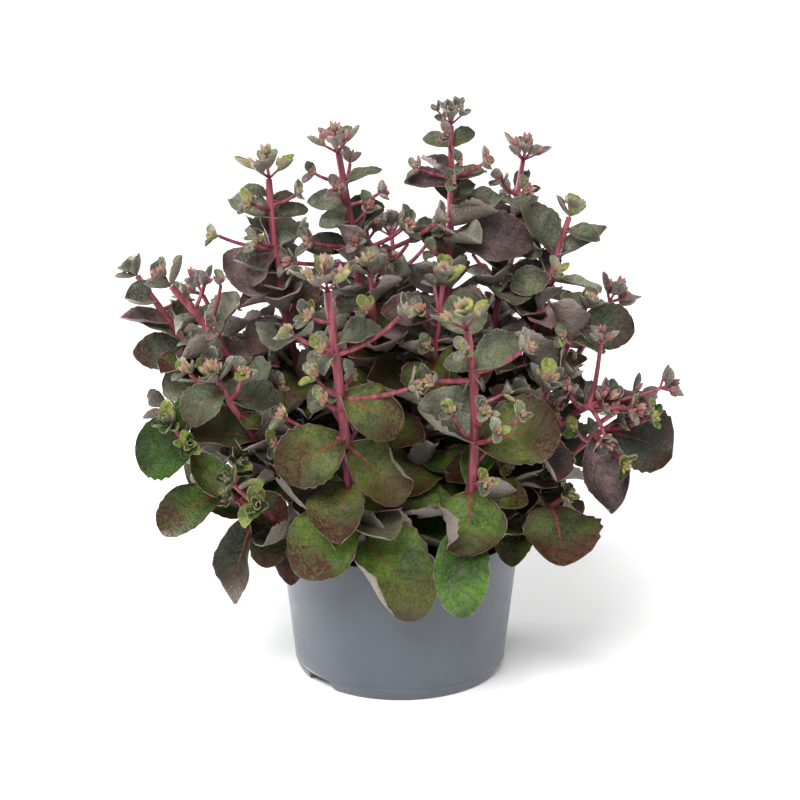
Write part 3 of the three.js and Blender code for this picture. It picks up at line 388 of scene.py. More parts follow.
@dataclass
class Leaf:
    """One leaf: its root in millimetres, its angles in degrees, its size and its own small waves."""

    root: Vec
    heading: float
    pitch: float
    long: float
    wide: float
    roll: float
    cup: float
    phase: float = 0.0
    wave: float = 0.04
    arch: float = 0.0
    tint: Tint = GREY
    red: float = 0.0
    chance: float = 0.5
    fold: float = 0.0
    buckle: float = 0.0

    WIDEST = 0.58
    NECK = 0.1
    ROUND_BELOW = 200
    SAMPLE_START = 0.13
    HOLLOW, RIPPLE, KEEL = 0.04, 0.026, 0.06
    FOLD_RADIUS = 2.2
    FOLD_TURN = 2.5

    @classmethod
    def grown(cls, root: Vec, row: Sequence[float], key: int, tint: Tint = GREY) -> "Leaf":
        """Makes a leaf with small draws of its own.

        Args:
            root: Where it leaves its stem.
            row: Heading, pitch, length, width, roll and cup.
            key: The seed of its draws.
            tint: The colour of its upper face.

        Returns:
            The leaf.
        """
        draw = Series(key)
        phase = 6.28 * draw.draw()
        wave = mix(0.02, 0.07, draw.draw())
        arch = 0.13 if row[1] < -28 else mix(0, 0.09, draw.draw())
        return cls(root, *row, phase=phase, wave=wave, arch=arch, tint=tint, chance=draw.draw())

    @classmethod
    def aimed(
        cls, root: Vec, ways: tuple[Vec, Vec], size: tuple[float, float], bend: tuple[float, float],
        key: int, tint: Tint,
    ) -> "Leaf":
        """Makes a leaf from the directions that it points in and faces.

        Args:
            root: Where it grows from.
            ways: The unit directions along it and up from its upper face.
            size: Its length and width.
            bend: Its cup and its arch.
            key: The seed of its draws.
            tint: The colour of its upper face.

        Returns:
            The leaf.
        """
        along, up = ways
        h, p = math.atan2(along[1], along[0]), math.asin(max(-1.0, min(1.0, float(along[2]))))
        flat = vec(-math.sin(p) * math.cos(h), -math.sin(p) * math.sin(h), math.cos(p))
        r = math.atan2(float(up @ np.cross(along, flat)), float(up @ flat))
        row = (math.degrees(h), math.degrees(p), *size, math.degrees(r), bend[0])
        return replace(cls.grown(root, row, key, tint), arch=bend[1])

    def axes(self) -> tuple[Vec, Vec, Vec]:
        """The leaf's own directions: along it, up from its upper face, and to its left.

        Returns:
            Three unit directions.
        """
        h, p, r = (math.radians(a) for a in (self.heading, self.pitch, self.roll))
        along = vec(math.cos(p) * math.cos(h), math.cos(p) * math.sin(h), math.sin(p))
        flat = vec(-math.sin(p) * math.cos(h), -math.sin(p) * math.sin(h), math.cos(p))
        up = flat * math.cos(r) + np.cross(along, flat) * math.sin(r)
        return along, up, np.cross(up, along)

    def half_width(self, t: Vec) -> Vec:
        """Half the leaf's width at shares t of its length, in millimetres.

        Args:
            t: The shares.

        Returns:
            One number for each share.
        """
        start = np.clip(t / self.WIDEST, 0, 1) ** 0.9
        rise = self.NECK + (1 - self.NECK) * np.sin(math.pi / 2 * start)
        past = np.maximum(0, (t - self.WIDEST) / (1 - self.WIDEST))
        broad = (self.wide / self.long - 0.45) / 0.35
        low = (self.ROUND_BELOW - self.root[2]) / 40
        fall = np.maximum(0, 1 - past**2) ** mix(0.95, 0.52, min(1.0, max(0.0, broad, low)))
        return 0.5 * self.wide * np.where(t < self.WIDEST, rise, fall)

    def surface(self, t: Vec, u: Vec) -> Vec:
        """Points of the leaf's middle surface.

        Args:
            t: Shares of the length, from root to tip.
            u: Shares of the half width, from the right edge at -1 to the left edge at 1.

        Returns:
            One point for each pair of shares.
        """
        along, up, left = self.axes()
        half = self.half_width(t)
        side = np.where(u < 0, self.phase, self.phase + 2.1)
        wave = self.wave * self.wide * np.abs(u) ** 3 * np.sin(9 * t + side) * np.minimum(1, 3 * t)
        lift = self.long * self.arch * 4 * t * (1 - t) + self.cup * 2 * half * u * u + wave
        across = half * u
        if self.buckle:
            hollow = np.sin(5.5 * t + self.phase) * np.cos(2.4 * u + 2 * self.phase)
            ripple = np.sin(13 * t + 3 * self.phase) * u * np.abs(u) * np.minimum(1, 4 * t)
            keel = np.abs(u) * np.clip(1.3 - t, 0, 1) - 0.3
            relief = self.HOLLOW * hollow + self.RIPPLE * ripple + self.KEEL * keel
            lift = lift + self.buckle * self.long * relief
        if self.fold:
            sign = math.copysign(1, self.fold)
            crease = 1 - abs(self.fold) * np.clip(4.6 * t * t * (1 - t * t), 0, 1)
            past = np.maximum(0, sign * u - crease) * half
            turn = np.minimum(past / self.FOLD_RADIUS, self.FOLD_TURN)
            rest = past - turn * self.FOLD_RADIUS
            reach = self.FOLD_RADIUS * np.sin(turn) + rest * np.cos(turn)
            across = across + sign * (reach - past)
            lift = lift + self.FOLD_RADIUS * (1 - np.cos(turn)) + rest * np.sin(turn)
        flat = self.root + (self.long * t)[:, None] * along
        return flat + across[:, None] * left + lift[:, None] * up

    def samples(self, step: float) -> tuple[Vec, Vec]:
        """Points spread over the leaf, and each one's share of its length.

        Args:
            step: The greatest distance between them, in millimetres.

        Returns:
            The points and the shares.
        """
        start = self.SAMPLE_START
        rows = math.ceil(self.long * (1 - start) / step)
        columns = math.ceil(self.wide / step)
        t = [mix(start, 1, i / rows) for i in range(rows) for _ in range(columns + 1)] + [1.0]
        u = [2 * j / columns - 1 for _ in range(rows) for j in range(columns + 1)] + [0.0]
        shares = np.array(t)
        return self.surface(shares, np.array(u)), shares


@dataclass
class CupLeaf:
    """One of the two cupped leaves of a head: its root, its directions and its length."""

    root: Vec
    out: Vec
    up: Vec
    across: Vec
    long: float

    WIDE, EDGE, HOLLOW, KEEL = 0.72, 0.2, 0.05, 0.03

    def corners(self) -> Vec:
        """Its widest points, its middle above and below, and its tip.

        Returns:
            Five points, one a row.
        """
        heart = self.root + self.out * (self.long / 2)
        raised = heart + self.up * (self.EDGE * self.long)
        side = self.across * (self.WIDE * self.long / 2)
        above = heart + self.up * (self.HOLLOW * self.long)
        below = heart - self.up * (self.KEEL * self.long)
        tip = self.root + self.out * self.long + self.up * (self.EDGE * self.long)
        return np.array([raised + side, raised - side, above, below, tip])


@dataclass
class Head:
    """A head of buds that ends a stem or a shoot, with the ways that the rod under it lies."""

    at: Vec
    radius: float
    key: int
    side: Vec
    other: Vec
    forward: Vec
    sides: int

    CORE, RING, CUP_LEAF, CUP_GROWTH, CUP_RISE = 0.48, 0.89, 8, 0.75, 0.25

    @classmethod
    def ending(cls, curve: Curve, radius: float, key: int, line: Vec, sides: int) -> "Head":
        """Makes the head that ends a curve.

        Args:
            curve: The stem or shoot.
            radius: The radius of its buds.
            key: The seed of its draws.
            line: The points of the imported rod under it.
            sides: The sides of that rod.

        Returns:
            The head.
        """
        _, side, other, forward = tube_rings(line, np.ones(len(line)), sides)
        at = curve.top + curve.direction(1) * (radius * 0.55)
        return cls(at, radius, key, side, other, forward, sides)

    def flat(self, turn: float) -> Vec:
        """The direction across the head at a turn, in radians."""
        return self.side * math.cos(turn) + self.other * math.sin(turn)

    def way(self, turn: float, polar: float) -> Vec:
        """The direction at a turn and at an angle from straight ahead, in radians."""
        return self.forward * math.cos(polar) + self.flat(turn) * math.sin(polar)

    def cups(self) -> list[CupLeaf]:
        """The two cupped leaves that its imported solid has.

        Returns:
            The leaves.
        """
        step = 2 * math.pi / self.sides
        reach = self.radius * self.CORE * self.RING * (1 + 2 * math.cos(step / 2)) / 3
        made = []
        for k in (0, 1) if self.sides == 3 else (0, 2):
            flat = self.flat(step * (k + 1))
            out = unit(flat + self.forward * self.CUP_RISE)
            across = np.cross(self.forward, flat)
            long = self.CUP_LEAF + self.CUP_GROWTH * self.radius
            made.append(CupLeaf(self.at + flat * reach, out, np.cross(out, across), across, long))
        return made


@dataclass
class Shoot(Curve):
    """A side shoot: it leaves its stem flat and turns up at its end."""

    size: float = 1.0
    head: Head | None = None

    @classmethod
    def leaving(cls, stem: Curve, row: tuple) -> "Shoot":
        """The shoot that a row gives.

        Args:
            stem: The stem that it leaves.
            row: Its height, tip and the size of its buds.

        Returns:
            The shoot.
        """
        height, tip, size = row
        root, top = stem.point(stem.share_at(height)), vec(*tip)
        bend = vec(mix(root[0], top[0], 0.6), mix(root[1], top[1], 0.6), mix(root[2], top[2], 0.3))
        return cls(root, bend, top, size)


@dataclass
class Stem(Curve):
    """A whole stem with its shoots, heads and leaves."""

    plan: StemPlan | None = None
    index: int = 0
    thick: float = 5.6
    head: Head | None = None
    shoots: list[Shoot] = field(default_factory=list)
    pairs: list[Triple] = field(default_factory=list)
    blades: list[Leaf] = field(default_factory=list)
    extras: list[Leaf] = field(default_factory=list)

    def leaf(self, height: float, row: Sequence[float], key: int, tint: Tint) -> Leaf:
        """A leaf rooted at a height of the stem."""
        return Leaf.grown(self.point(self.share_at(height)), row, key, tint)

    def packed_line(self, foot: float) -> Vec:
        """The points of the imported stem's rod, from its foot in the soil.

        Args:
            foot: The height of its foot.

        Returns:
            The points, one a row.
        """
        bow = self.root - self.bend * 2 + self.top
        steps = max(2, math.ceil(math.sqrt(math.sqrt(float(bow @ bow)) / 8)))
        line = self.points(i / steps for i in range(steps + 1))
        return np.vstack([vec(self.root[0], self.root[1], foot), line])


@dataclass
class Pot:
    """The nursery pot, in millimetres and degrees."""

    height: float = 102.5
    rim_radius: float = 85
    wall_foot_radius: float = 74
    foot_radius: float = 71.7
    foot_round: float = 7
    wall: float = 1.8
    floor_bottom: float = 9
    floor_top: float = 11
    notch_height: float = 7.5
    notch_middles: tuple[float, ...] = (-140, -16, 102)
    notch_span: float = 26
    notch_top_span: float = 17
    drain_radius: float = 4.5
    drain_circle: float = 48
    drain_count: int = 6
    boss_radius: float = 12
    sides: int = 192

    def radius(self, height: Vec | float) -> Vec | float:
        """The outer radius of the wall at a height."""
        share = np.clip(np.asarray(height) / self.height, 0, 1)
        return self.wall_foot_radius + (self.rim_radius - self.wall_foot_radius) * share

    def at(self, height: float, inset: float = 0.0) -> tuple[float, float]:
        """The radius and height of a point of the wall, set in from its outside."""
        return float(self.radius(height)) - inset, height

    def profile(self) -> list[tuple[float, float]]:
        """The outline that is turned into the pot, from the middle of its underside round to its
        inner floor, as radius and height."""
        foot, wall, low = self.foot_radius, self.wall, 0.35
        turn = [(foot - 0.9, 0.0), (foot - 0.2, low)]
        for i in range(1, 7):
            share = i / 6
            height = low + (self.foot_round - low) * share
            turn.append((foot + (float(self.radius(height)) - foot) * share**0.6, height))
        line = self.foot_round + 1.6
        edge = float(self.radius(line))
        turn += [(edge, line), (edge - 0.28, line + 0.45), (edge + 0.05, line + 1.1)]
        lip = self.height - 0.3
        rim = [
            (self.rim_radius - 0.25, lip), (self.rim_radius - wall / 2, self.height),
            (self.rim_radius - wall + 0.2, lip), self.at(self.height - 1.2, wall),
        ]
        steps = [self.at(z) for z in (20, 35, 50, 65, 80, 92, self.height - 1.2)]
        down = [self.at(z, wall) for z in (80, 50, 20)]
        boss, under, floor, skirt = self.boss_radius, self.floor_bottom, self.floor_top, foot - 2 * wall
        inner = self.at(floor, wall)[0]
        return [
            (0, 0), (boss - 0.6, 0), (boss, 0.6), (boss + 1, under), (skirt, under), (skirt, 0.3),
            (skirt + 0.3, 0), *turn, *steps, *rim, *down, (inner, floor + 1), (inner - 1, floor),
            (0, floor),
        ]


@dataclass
class Crowd:
    """The points that leaves keep clear of, with the rule that settles a leaf among them."""

    pot: Pot
    clearance: float = 4.05
    step: float = 5.5
    pot_clearance: float = 3
    soil_top: float = 93
    soil_crown: float = 3
    rows: Vec = field(default_factory=lambda: np.zeros((4096, 6)))
    count: int = 0

    SWINGS = (
        (0, 0), (1, 0), (-1, 0), (0, 1), (0, -1), (1, 1), (-1, 1), (1, -1), (-1, -1),
        (2, 0), (-2, 0), (0, 2), (0, -2), (2, 1), (-2, 1), (2, -1), (-2, -1), (2, 2), (-2, 2),
        (3, 0), (-3, 0), (3, 1), (-3, 1), (3, 2), (-3, 2), (0, 3), (3, -1), (-3, -1),
    )
    SHRINKS = (1, 0.88, 0.76, 0.62)

    def block(self, points: Vec, owner: int, keep: float, far: Vec | bool) -> None:
        """Adds points to keep clear of.

        Args:
            points: The points, one row each.
            owner: The number of the stem that they belong to.
            keep: The distance to keep.
            far: Whether each stands away from its stem.
        """
        while self.count + len(points) > len(self.rows):
            self.rows = np.vstack([self.rows, np.zeros_like(self.rows)])
        new = self.rows[self.count : self.count + len(points)]
        new[:, :3], new[:, 3], new[:, 4], new[:, 5] = points, owner, keep, far
        self.count += len(points)

    def block_curve(self, curve: Curve, owner: int, keep: float) -> None:
        """Adds the points along a stem or shoot, at the rule's step.

        Args:
            curve: The stem or shoot.
            owner: The number of its stem.
            keep: The distance to keep.
        """
        length = math.sqrt(float((curve.top - curve.root) @ (curve.top - curve.root)))
        steps = math.ceil(length / self.step)
        self.block(curve.points(i / steps for i in range(steps + 1)), owner, keep, True)

    def near_pot(self, p: Vec) -> bool:
        """Whether any of the points is too near the pot, the soil or the floor.

        Args:
            p: The points, one a row.

        Returns:
            True where one is.
        """
        r, z = np.sqrt(p[:, 0] ** 2 + p[:, 1] ** 2), p[:, 2]
        gap = self.pot_clearance
        out = (z > self.pot.height + gap) | (r > self.pot.radius(z) + gap)
        wall = r > self.pot.rim_radius - self.pot.wall - gap - 1
        return bool(((z < 12) | (~out & (wall | (z < self.soil_top + self.soil_crown + gap)))).any())

    def is_clear(self, leaf: Leaf, owner: int, rows: Vec, ease: float) -> bool:
        """Whether a leaf keeps clear of the pot and of blocked points.

        Args:
            leaf: The leaf.
            owner: The number of its stem.
            rows: The blocked points.
            ease: The share of their distances that it keeps.

        Returns:
            True where it does.
        """
        points, shares = leaf.samples(self.step)
        if self.near_pot(points):
            return False
        own = rows[:, 3] == owner
        keep = (np.where(own, rows[:, 4] * 0.8, rows[:, 4]) * ease) ** 2
        start = 0.4 if ease == 1 else 0.22
        for part in (slice(3, None, 6), slice(None)):
            away = ((points[part, None, :] - rows[None, :, :3]) ** 2).sum(2)
            near = shares[part] < start
            hit = away < keep[None, :]
            if (hit & ~(own[None, :] & (near[:, None] | (rows[:, 5] == 0)[None, :]))).any():
                return False
        return True

    def settle(self, leaf: Leaf, owner: int, swing: float, ease: float = 1.0) -> Leaf | None:
        """Places a leaf clear of all the others.

        Args:
            leaf: The leaf as its row gives it.
            owner: The number of its stem.
            swing: The size of the smallest swing, in degrees.
            ease: The share of the usual distances that it keeps.

        Returns:
            The leaf as placed, or None where there is no room for it.
        """
        rows = self.rows[: self.count]
        reach = 1.25 * leaf.long + leaf.wide / 2 + 20
        rows = rows[((rows[:, :3] - leaf.root) ** 2).sum(1) < reach * reach]
        for shrink in self.SHRINKS:
            for turn, lift in self.SWINGS:
                way = {"heading": leaf.heading + swing * turn, "pitch": leaf.pitch + swing * lift}
                tried = replace(leaf, **way, long=leaf.long * shrink, wide=leaf.wide * shrink)
                if self.is_clear(tried, owner, rows, ease):
                    points, shares = tried.samples(self.step)
                    self.block(points, owner, self.clearance, shares > 0.4)
                    return tried
        return None

    def is_free(self, point: Vec, keep: float) -> bool:
        """Whether nothing stands within a distance of a point."""
        away = ((self.rows[: self.count, :3] - point) ** 2).sum(1)
        return not bool((away < keep * keep).any()) and not self.near_pot(point[None, :])


@dataclass
class Plant:
    """The whole plant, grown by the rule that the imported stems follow."""

    pot: Pot
    crowd: Crowd
    head_radius: float = 14
    shoot_head_radius: float = 9.5
    lean_out: float = 26
    stem_depth: float = 22
    back_thick: float = 5.6
    back_first: float = 120
    back_step: float = 31
    back_turn: float = 87
    back_shoot: float = 0.8
    row_swing: float = 6
    pair_swing: float = 11
    stems: list[Stem] = field(default_factory=list)

    def grow(self) -> None:
        """Grows every stem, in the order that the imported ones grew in."""
        ground = self.crowd.soil_top + self.crowd.soil_crown
        for index, plan in enumerate(PLANS):
            stem = Stem(vec(*plan.root, ground), vec(*plan.bend), vec(*plan.top), plan, index)
            stem.thick = plan.thick or self.back_thick
            stem.pairs = list(plan.pairs) if plan.thick else self.back_pairs(stem)
            rows = plan.shoots if plan.thick else self.back_shoots(stem)
            stem.shoots = [Shoot.leaving(stem, row) for row in rows]
            self.stems.append(stem)
        for stem in self.stems:
            self.end_in_heads(stem)
        for stem in self.stems:
            for i, row in enumerate(stem.plan.leaves):
                leaf = stem.leaf(row[0], row[1:7], 100 * stem.index + i, row[7])
                self.keep(stem.blades, leaf, stem, self.row_swing)
        for stem in self.stems:
            draw = Series(700 + stem.index)
            rows = [row for pair in stem.pairs for row in self.pair_rows(stem, pair, draw)]
            for i, row in enumerate(rows):
                tint = self.tint_at(row[0], 900 + 10 * stem.index + i)
                leaf = stem.leaf(row[0], row[1:], 100 * stem.index + 50 + i, tint)
                self.keep(stem.blades, leaf, stem, self.pair_swing)
        for stem in self.stems:
            self.sprout(stem)
        for stem in self.stems:
            self.fill(stem)

    def keep(self, kept: list[Leaf], leaf: Leaf, stem: Stem, swing: float, ease: float = 1.0) -> None:
        """Settles a leaf and keeps it where there is room for it.

        Args:
            kept: Where it is kept.
            leaf: The leaf.
            stem: Its stem.
            swing: The size of the smallest swing, in degrees.
            ease: The share of the usual distances that it keeps.
        """
        placed = self.crowd.settle(leaf, stem.index, swing, ease)
        if placed:
            kept.append(placed)

    def sprout(self, stem: Stem) -> None:
        """Adds small side shoots with buds to the upper stem, where there is room for them.

        Args:
            stem: The stem.
        """
        draw = Series(6000 + stem.index)
        top = float(stem.top[2])
        height = max(150.0, top - 110)
        while height < top - 14:
            root = stem.point(stem.share_at(height))
            turn = draw.between(0, 2 * math.pi)
            for swing in (0, 1.3, -1.3, 2.4, -2.4, 3.5):
                reach = draw.between(12, 21)
                a = turn + swing
                tip = root + vec(reach * math.cos(a), reach * math.sin(a), draw.between(4, 15))
                if not self.crowd.is_free(tip + vec(0, 0, 4), 9.5):
                    continue
                shoot = Shoot.leaving(stem, (height, tuple(tip), draw.between(0.42, 0.62)))
                self.end_shoot(stem, shoot, 6500 + 20 * stem.index + len(stem.shoots))
                stem.shoots.append(shoot)
                break
            height += draw.between(10, 17)

    def fill(self, stem: Stem) -> None:
        """Adds leaves between the pairs of a stem, where there is room for them.

        Args:
            stem: The stem.
        """
        draw = Series(8000 + stem.index)
        height = 101.0
        ceiling = 150.0 if stem.index < 2 else float(stem.top[2]) - 40
        count = 0
        while height < ceiling:
            share = stem.share_at(height)
            x, y, _ = stem.point(share)
            heading = math.degrees(math.atan2(y, x)) + draw.between(-120, 120)
            pitch = mix(-5, 25, share) + draw.between(-25, 25)
            long = mix(46, 30, share) * draw.between(0.8, 1.1)
            row = (heading, pitch, long, long * draw.between(0.62, 0.84), draw.between(-40, 40))
            key = 40 * stem.index + count
            tint = self.tint_at(height, 8500 + key)
            leaf = stem.leaf(height, (*row, draw.between(0.1, 0.3)), 9000 + key, tint)
            self.keep(stem.extras, leaf, stem, 13, 0.62)
            height += draw.between(5, 9)
            count += 1

    def end_in_heads(self, stem: Stem) -> None:
        """Gives a stem and its shoots their heads, and blocks the room that they all take.

        Args:
            stem: The stem.
        """
        key = 3000 + 10 * stem.index
        line = stem.packed_line(self.crowd.soil_top - self.stem_depth)
        stem.head = Head.ending(stem, self.head_radius * stem.plan.head, key, line, 4)
        self.crowd.block_curve(stem, stem.index, stem.thick / 2 + 3)
        self.block_head(stem.head, stem)
        for i, shoot in enumerate(stem.shoots):
            self.end_shoot(stem, shoot, key + 1 + i)

    def end_shoot(self, stem: Stem, shoot: Shoot, key: int) -> None:
        """Gives a shoot its head and blocks the room that it takes.

        Args:
            stem: Its stem.
            shoot: The shoot.
            key: The seed of the head's draws.
        """
        radius = self.shoot_head_radius * shoot.size
        shoot.head = Head.ending(shoot, radius, key, shoot.points((0, 0.55, 1)), 3)
        self.crowd.block_curve(shoot, stem.index, 3.4)
        self.block_head(shoot.head, stem)

    def block_head(self, head: Head, stem: Stem) -> None:
        """Blocks the room that a head and its cup take.

        Args:
            head: The head.
            stem: Its stem.
        """
        self.crowd.block(head.at[None, :], stem.index, head.radius + 1.5, True)
        for cup in head.cups():
            self.crowd.block(cup.corners(), stem.index, self.crowd.clearance, True)

    def back_pairs(self, stem: Stem) -> list[Triple]:
        """The pairs of a back stem, each turned from the last and smaller towards the top.

        Args:
            stem: The stem.

        Returns:
            For each pair its height, the first leaf's heading and its length.
        """
        pairs, heading, height = [], 40.0 * stem.index, self.back_first
        while height < stem.top[2] - 18:
            pairs.append((height, heading, mix(54, 32, stem.share_at(height))))
            heading += self.back_turn
            height += self.back_step
        return pairs

    def back_shoots(self, stem: Stem) -> list[tuple]:
        """The one side shoot near the top of a back stem.

        Args:
            stem: The stem.

        Returns:
            Its one shoot row.
        """
        height = float(stem.top[2]) - 24
        side = 1 if stem.index % 2 else -1
        tip = stem.point(stem.share_at(height)) + vec(side * 24, 10, 20)
        return [(height, tuple(tip), self.back_shoot)]

    def pair_rows(self, stem: Stem, pair: Triple, draw: Series) -> list[tuple[float, ...]]:
        """The two leaf rows of a pair, which stand opposite each other and face out.

        Args:
            stem: The stem that carries them.
            pair: Their height, the first one's heading and their length.
            draw: The series of their small differences.

        Returns:
            For each leaf its height, heading, pitch, length, width, roll and cup.
        """
        height, heading, long = pair
        share = stem.share_at(height)
        x, y, _ = stem.point(share)
        outward = math.atan2(y, x)
        rows = []
        for turn in (0, 180):
            towards = heading + turn + draw.between(-9, 9)
            inward = -math.cos(math.radians(towards) - outward)
            pitch = mix(-20, 30, share) + draw.between(-10, 10) + self.lean_out * inward
            size = long * draw.between(0.92, 1.1)
            roll = draw.between(-30, 30)
            cup = draw.between(0.1, 0.22)
            rows.append((height + turn / 60, towards, pitch, size, size * 0.84, roll, cup))
        return rows

    def tint_at(self, height: float, key: int) -> Tint:
        """The colour of an unlisted leaf: green low on the plant, grey and purple higher up.

        Args:
            height: The height of its root, in millimetres.
            key: The seed of the choice.

        Returns:
            The tint.
        """
        draw = Series(key)
        draw.draw()
        level = (height - 100) / 220 + draw.between(-0.2, 0.2)
        if level < 0.14:
            return GREEN if draw.draw() < 0.7 else BRIGHT
        if level < 0.36:
            return (GREEN, OLIVE, OLIVE, GREY)[int(4 * draw.draw())]
        if level < 0.62:
            return (OLIVE, GREY, DARK, PURPLE)[int(4 * draw.draw())]
        return (GREY, PURPLE, SILVER, MAUVE, DARK)[int(5 * draw.draw())]


@dataclass
class Draft:
    """A mesh being drawn: lofted tubes with what their finish needs to know of each point."""

    points: list[Vec] = field(default_factory=list)
    faces: list[list[int]] = field(default_factory=list)
    tints: list[Vec] = field(default_factory=list)
    places: list[Vec] = field(default_factory=list)
    moods: list[Vec] = field(default_factory=list)
    count: int = 0

    def loft(self, rings: Vec, tint: Sequence[float], place: Vec, mood: Vec, tip: Vec) -> None:
        """Adds a tube through rings of points, flat at its start and closed by a point at its end.

        Args:
            rings: Points of shape (rings, points of a ring, 3), in millimetres.
            tint: Linear red, green and blue.
            place: For each point three numbers that its finish reads.
            mood: For each point three more.
            tip: The point that closes the far end.
        """
        n, m, _ = rings.shape
        base = self.count
        turn = np.arange(m)
        low = base + np.arange(n - 1)[:, None] * m + turn[None, :]
        after = base + np.arange(n - 1)[:, None] * m + ((turn + 1) % m)[None, :]
        self.faces += np.stack([low, after, after + m, low + m], 2).reshape(-1, 4).tolist()
        self.faces.append([base + m - 1 - k for k in range(m)])
        last, end = base + (n - 1) * m, base + n * m
        self.faces += [[last + k, last + (k + 1) % m, end] for k in range(m)]
        self.points.append(np.vstack([rings.reshape(-1, 3), tip]))
        self.places.append(np.vstack([place, place[-m:].mean(0)]))
        self.moods.append(np.vstack([mood, mood[-m:].mean(0)]))
        self.tints.append(np.tile(np.array([*tint, 1.0]), (n * m + 1, 1)))
        self.count += n * m + 1

    def to_object(self, name: str, material: Material, slot: str) -> bpy.types.Object:
        """Makes the piece, in metres, and lets it ride on the plant.

        Args:
            name: The piece's name.
            material: Its finish.
            slot: Not used.

        Returns:
            The Blender object.
        """
        mesh = bpy.data.meshes.new(name)
        mesh.from_pydata((np.vstack(self.points) * MM).tolist(), [], self.faces)
        for word, kind, key, rows in (
            ("tint", "FLOAT_COLOR", "color", self.tints),
            ("place", "FLOAT_VECTOR", "vector", self.places),
            ("mood", "FLOAT_VECTOR", "vector", self.moods),
        ):
            layer = mesh.attributes.new(word, kind, "POINT")
            layer.data.foreach_set(key, np.vstack(rows).astype(np.float32).ravel())
        return dress(name, mesh, material)


def placed(name: str, data: bpy.types.ID) -> bpy.types.Object:
    """A new object of the scene that shows some data.

    Args:
        name: The object's name.
        data: What it shows.

    Returns:
        The object.
    """
    made = bpy.data.objects.new(name, data)
    bpy.context.scene.collection.objects.link(made)
    return made


def dress(name: str, mesh: bpy.types.Mesh, material: Material) -> bpy.types.Object:
    """Makes a smooth-shaded piece that rides on the plant.

    Args:
        name: The piece's name.
        mesh: Its mesh, in metres.
        material: Its finish.

    Returns:
        The Blender object.
    """
    mesh.materials.append(material)
    mesh.polygons.foreach_set("use_smooth", [True] * len(mesh.polygons))
    mesh.set_sharp_from_angle(angle=math.radians(50))
    mesh.update()
    piece = placed(name, mesh)
    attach(piece, "root")
    LOG.info("%s: %d points, %d faces", name, len(mesh.vertices), len(mesh.polygons))
    return piece


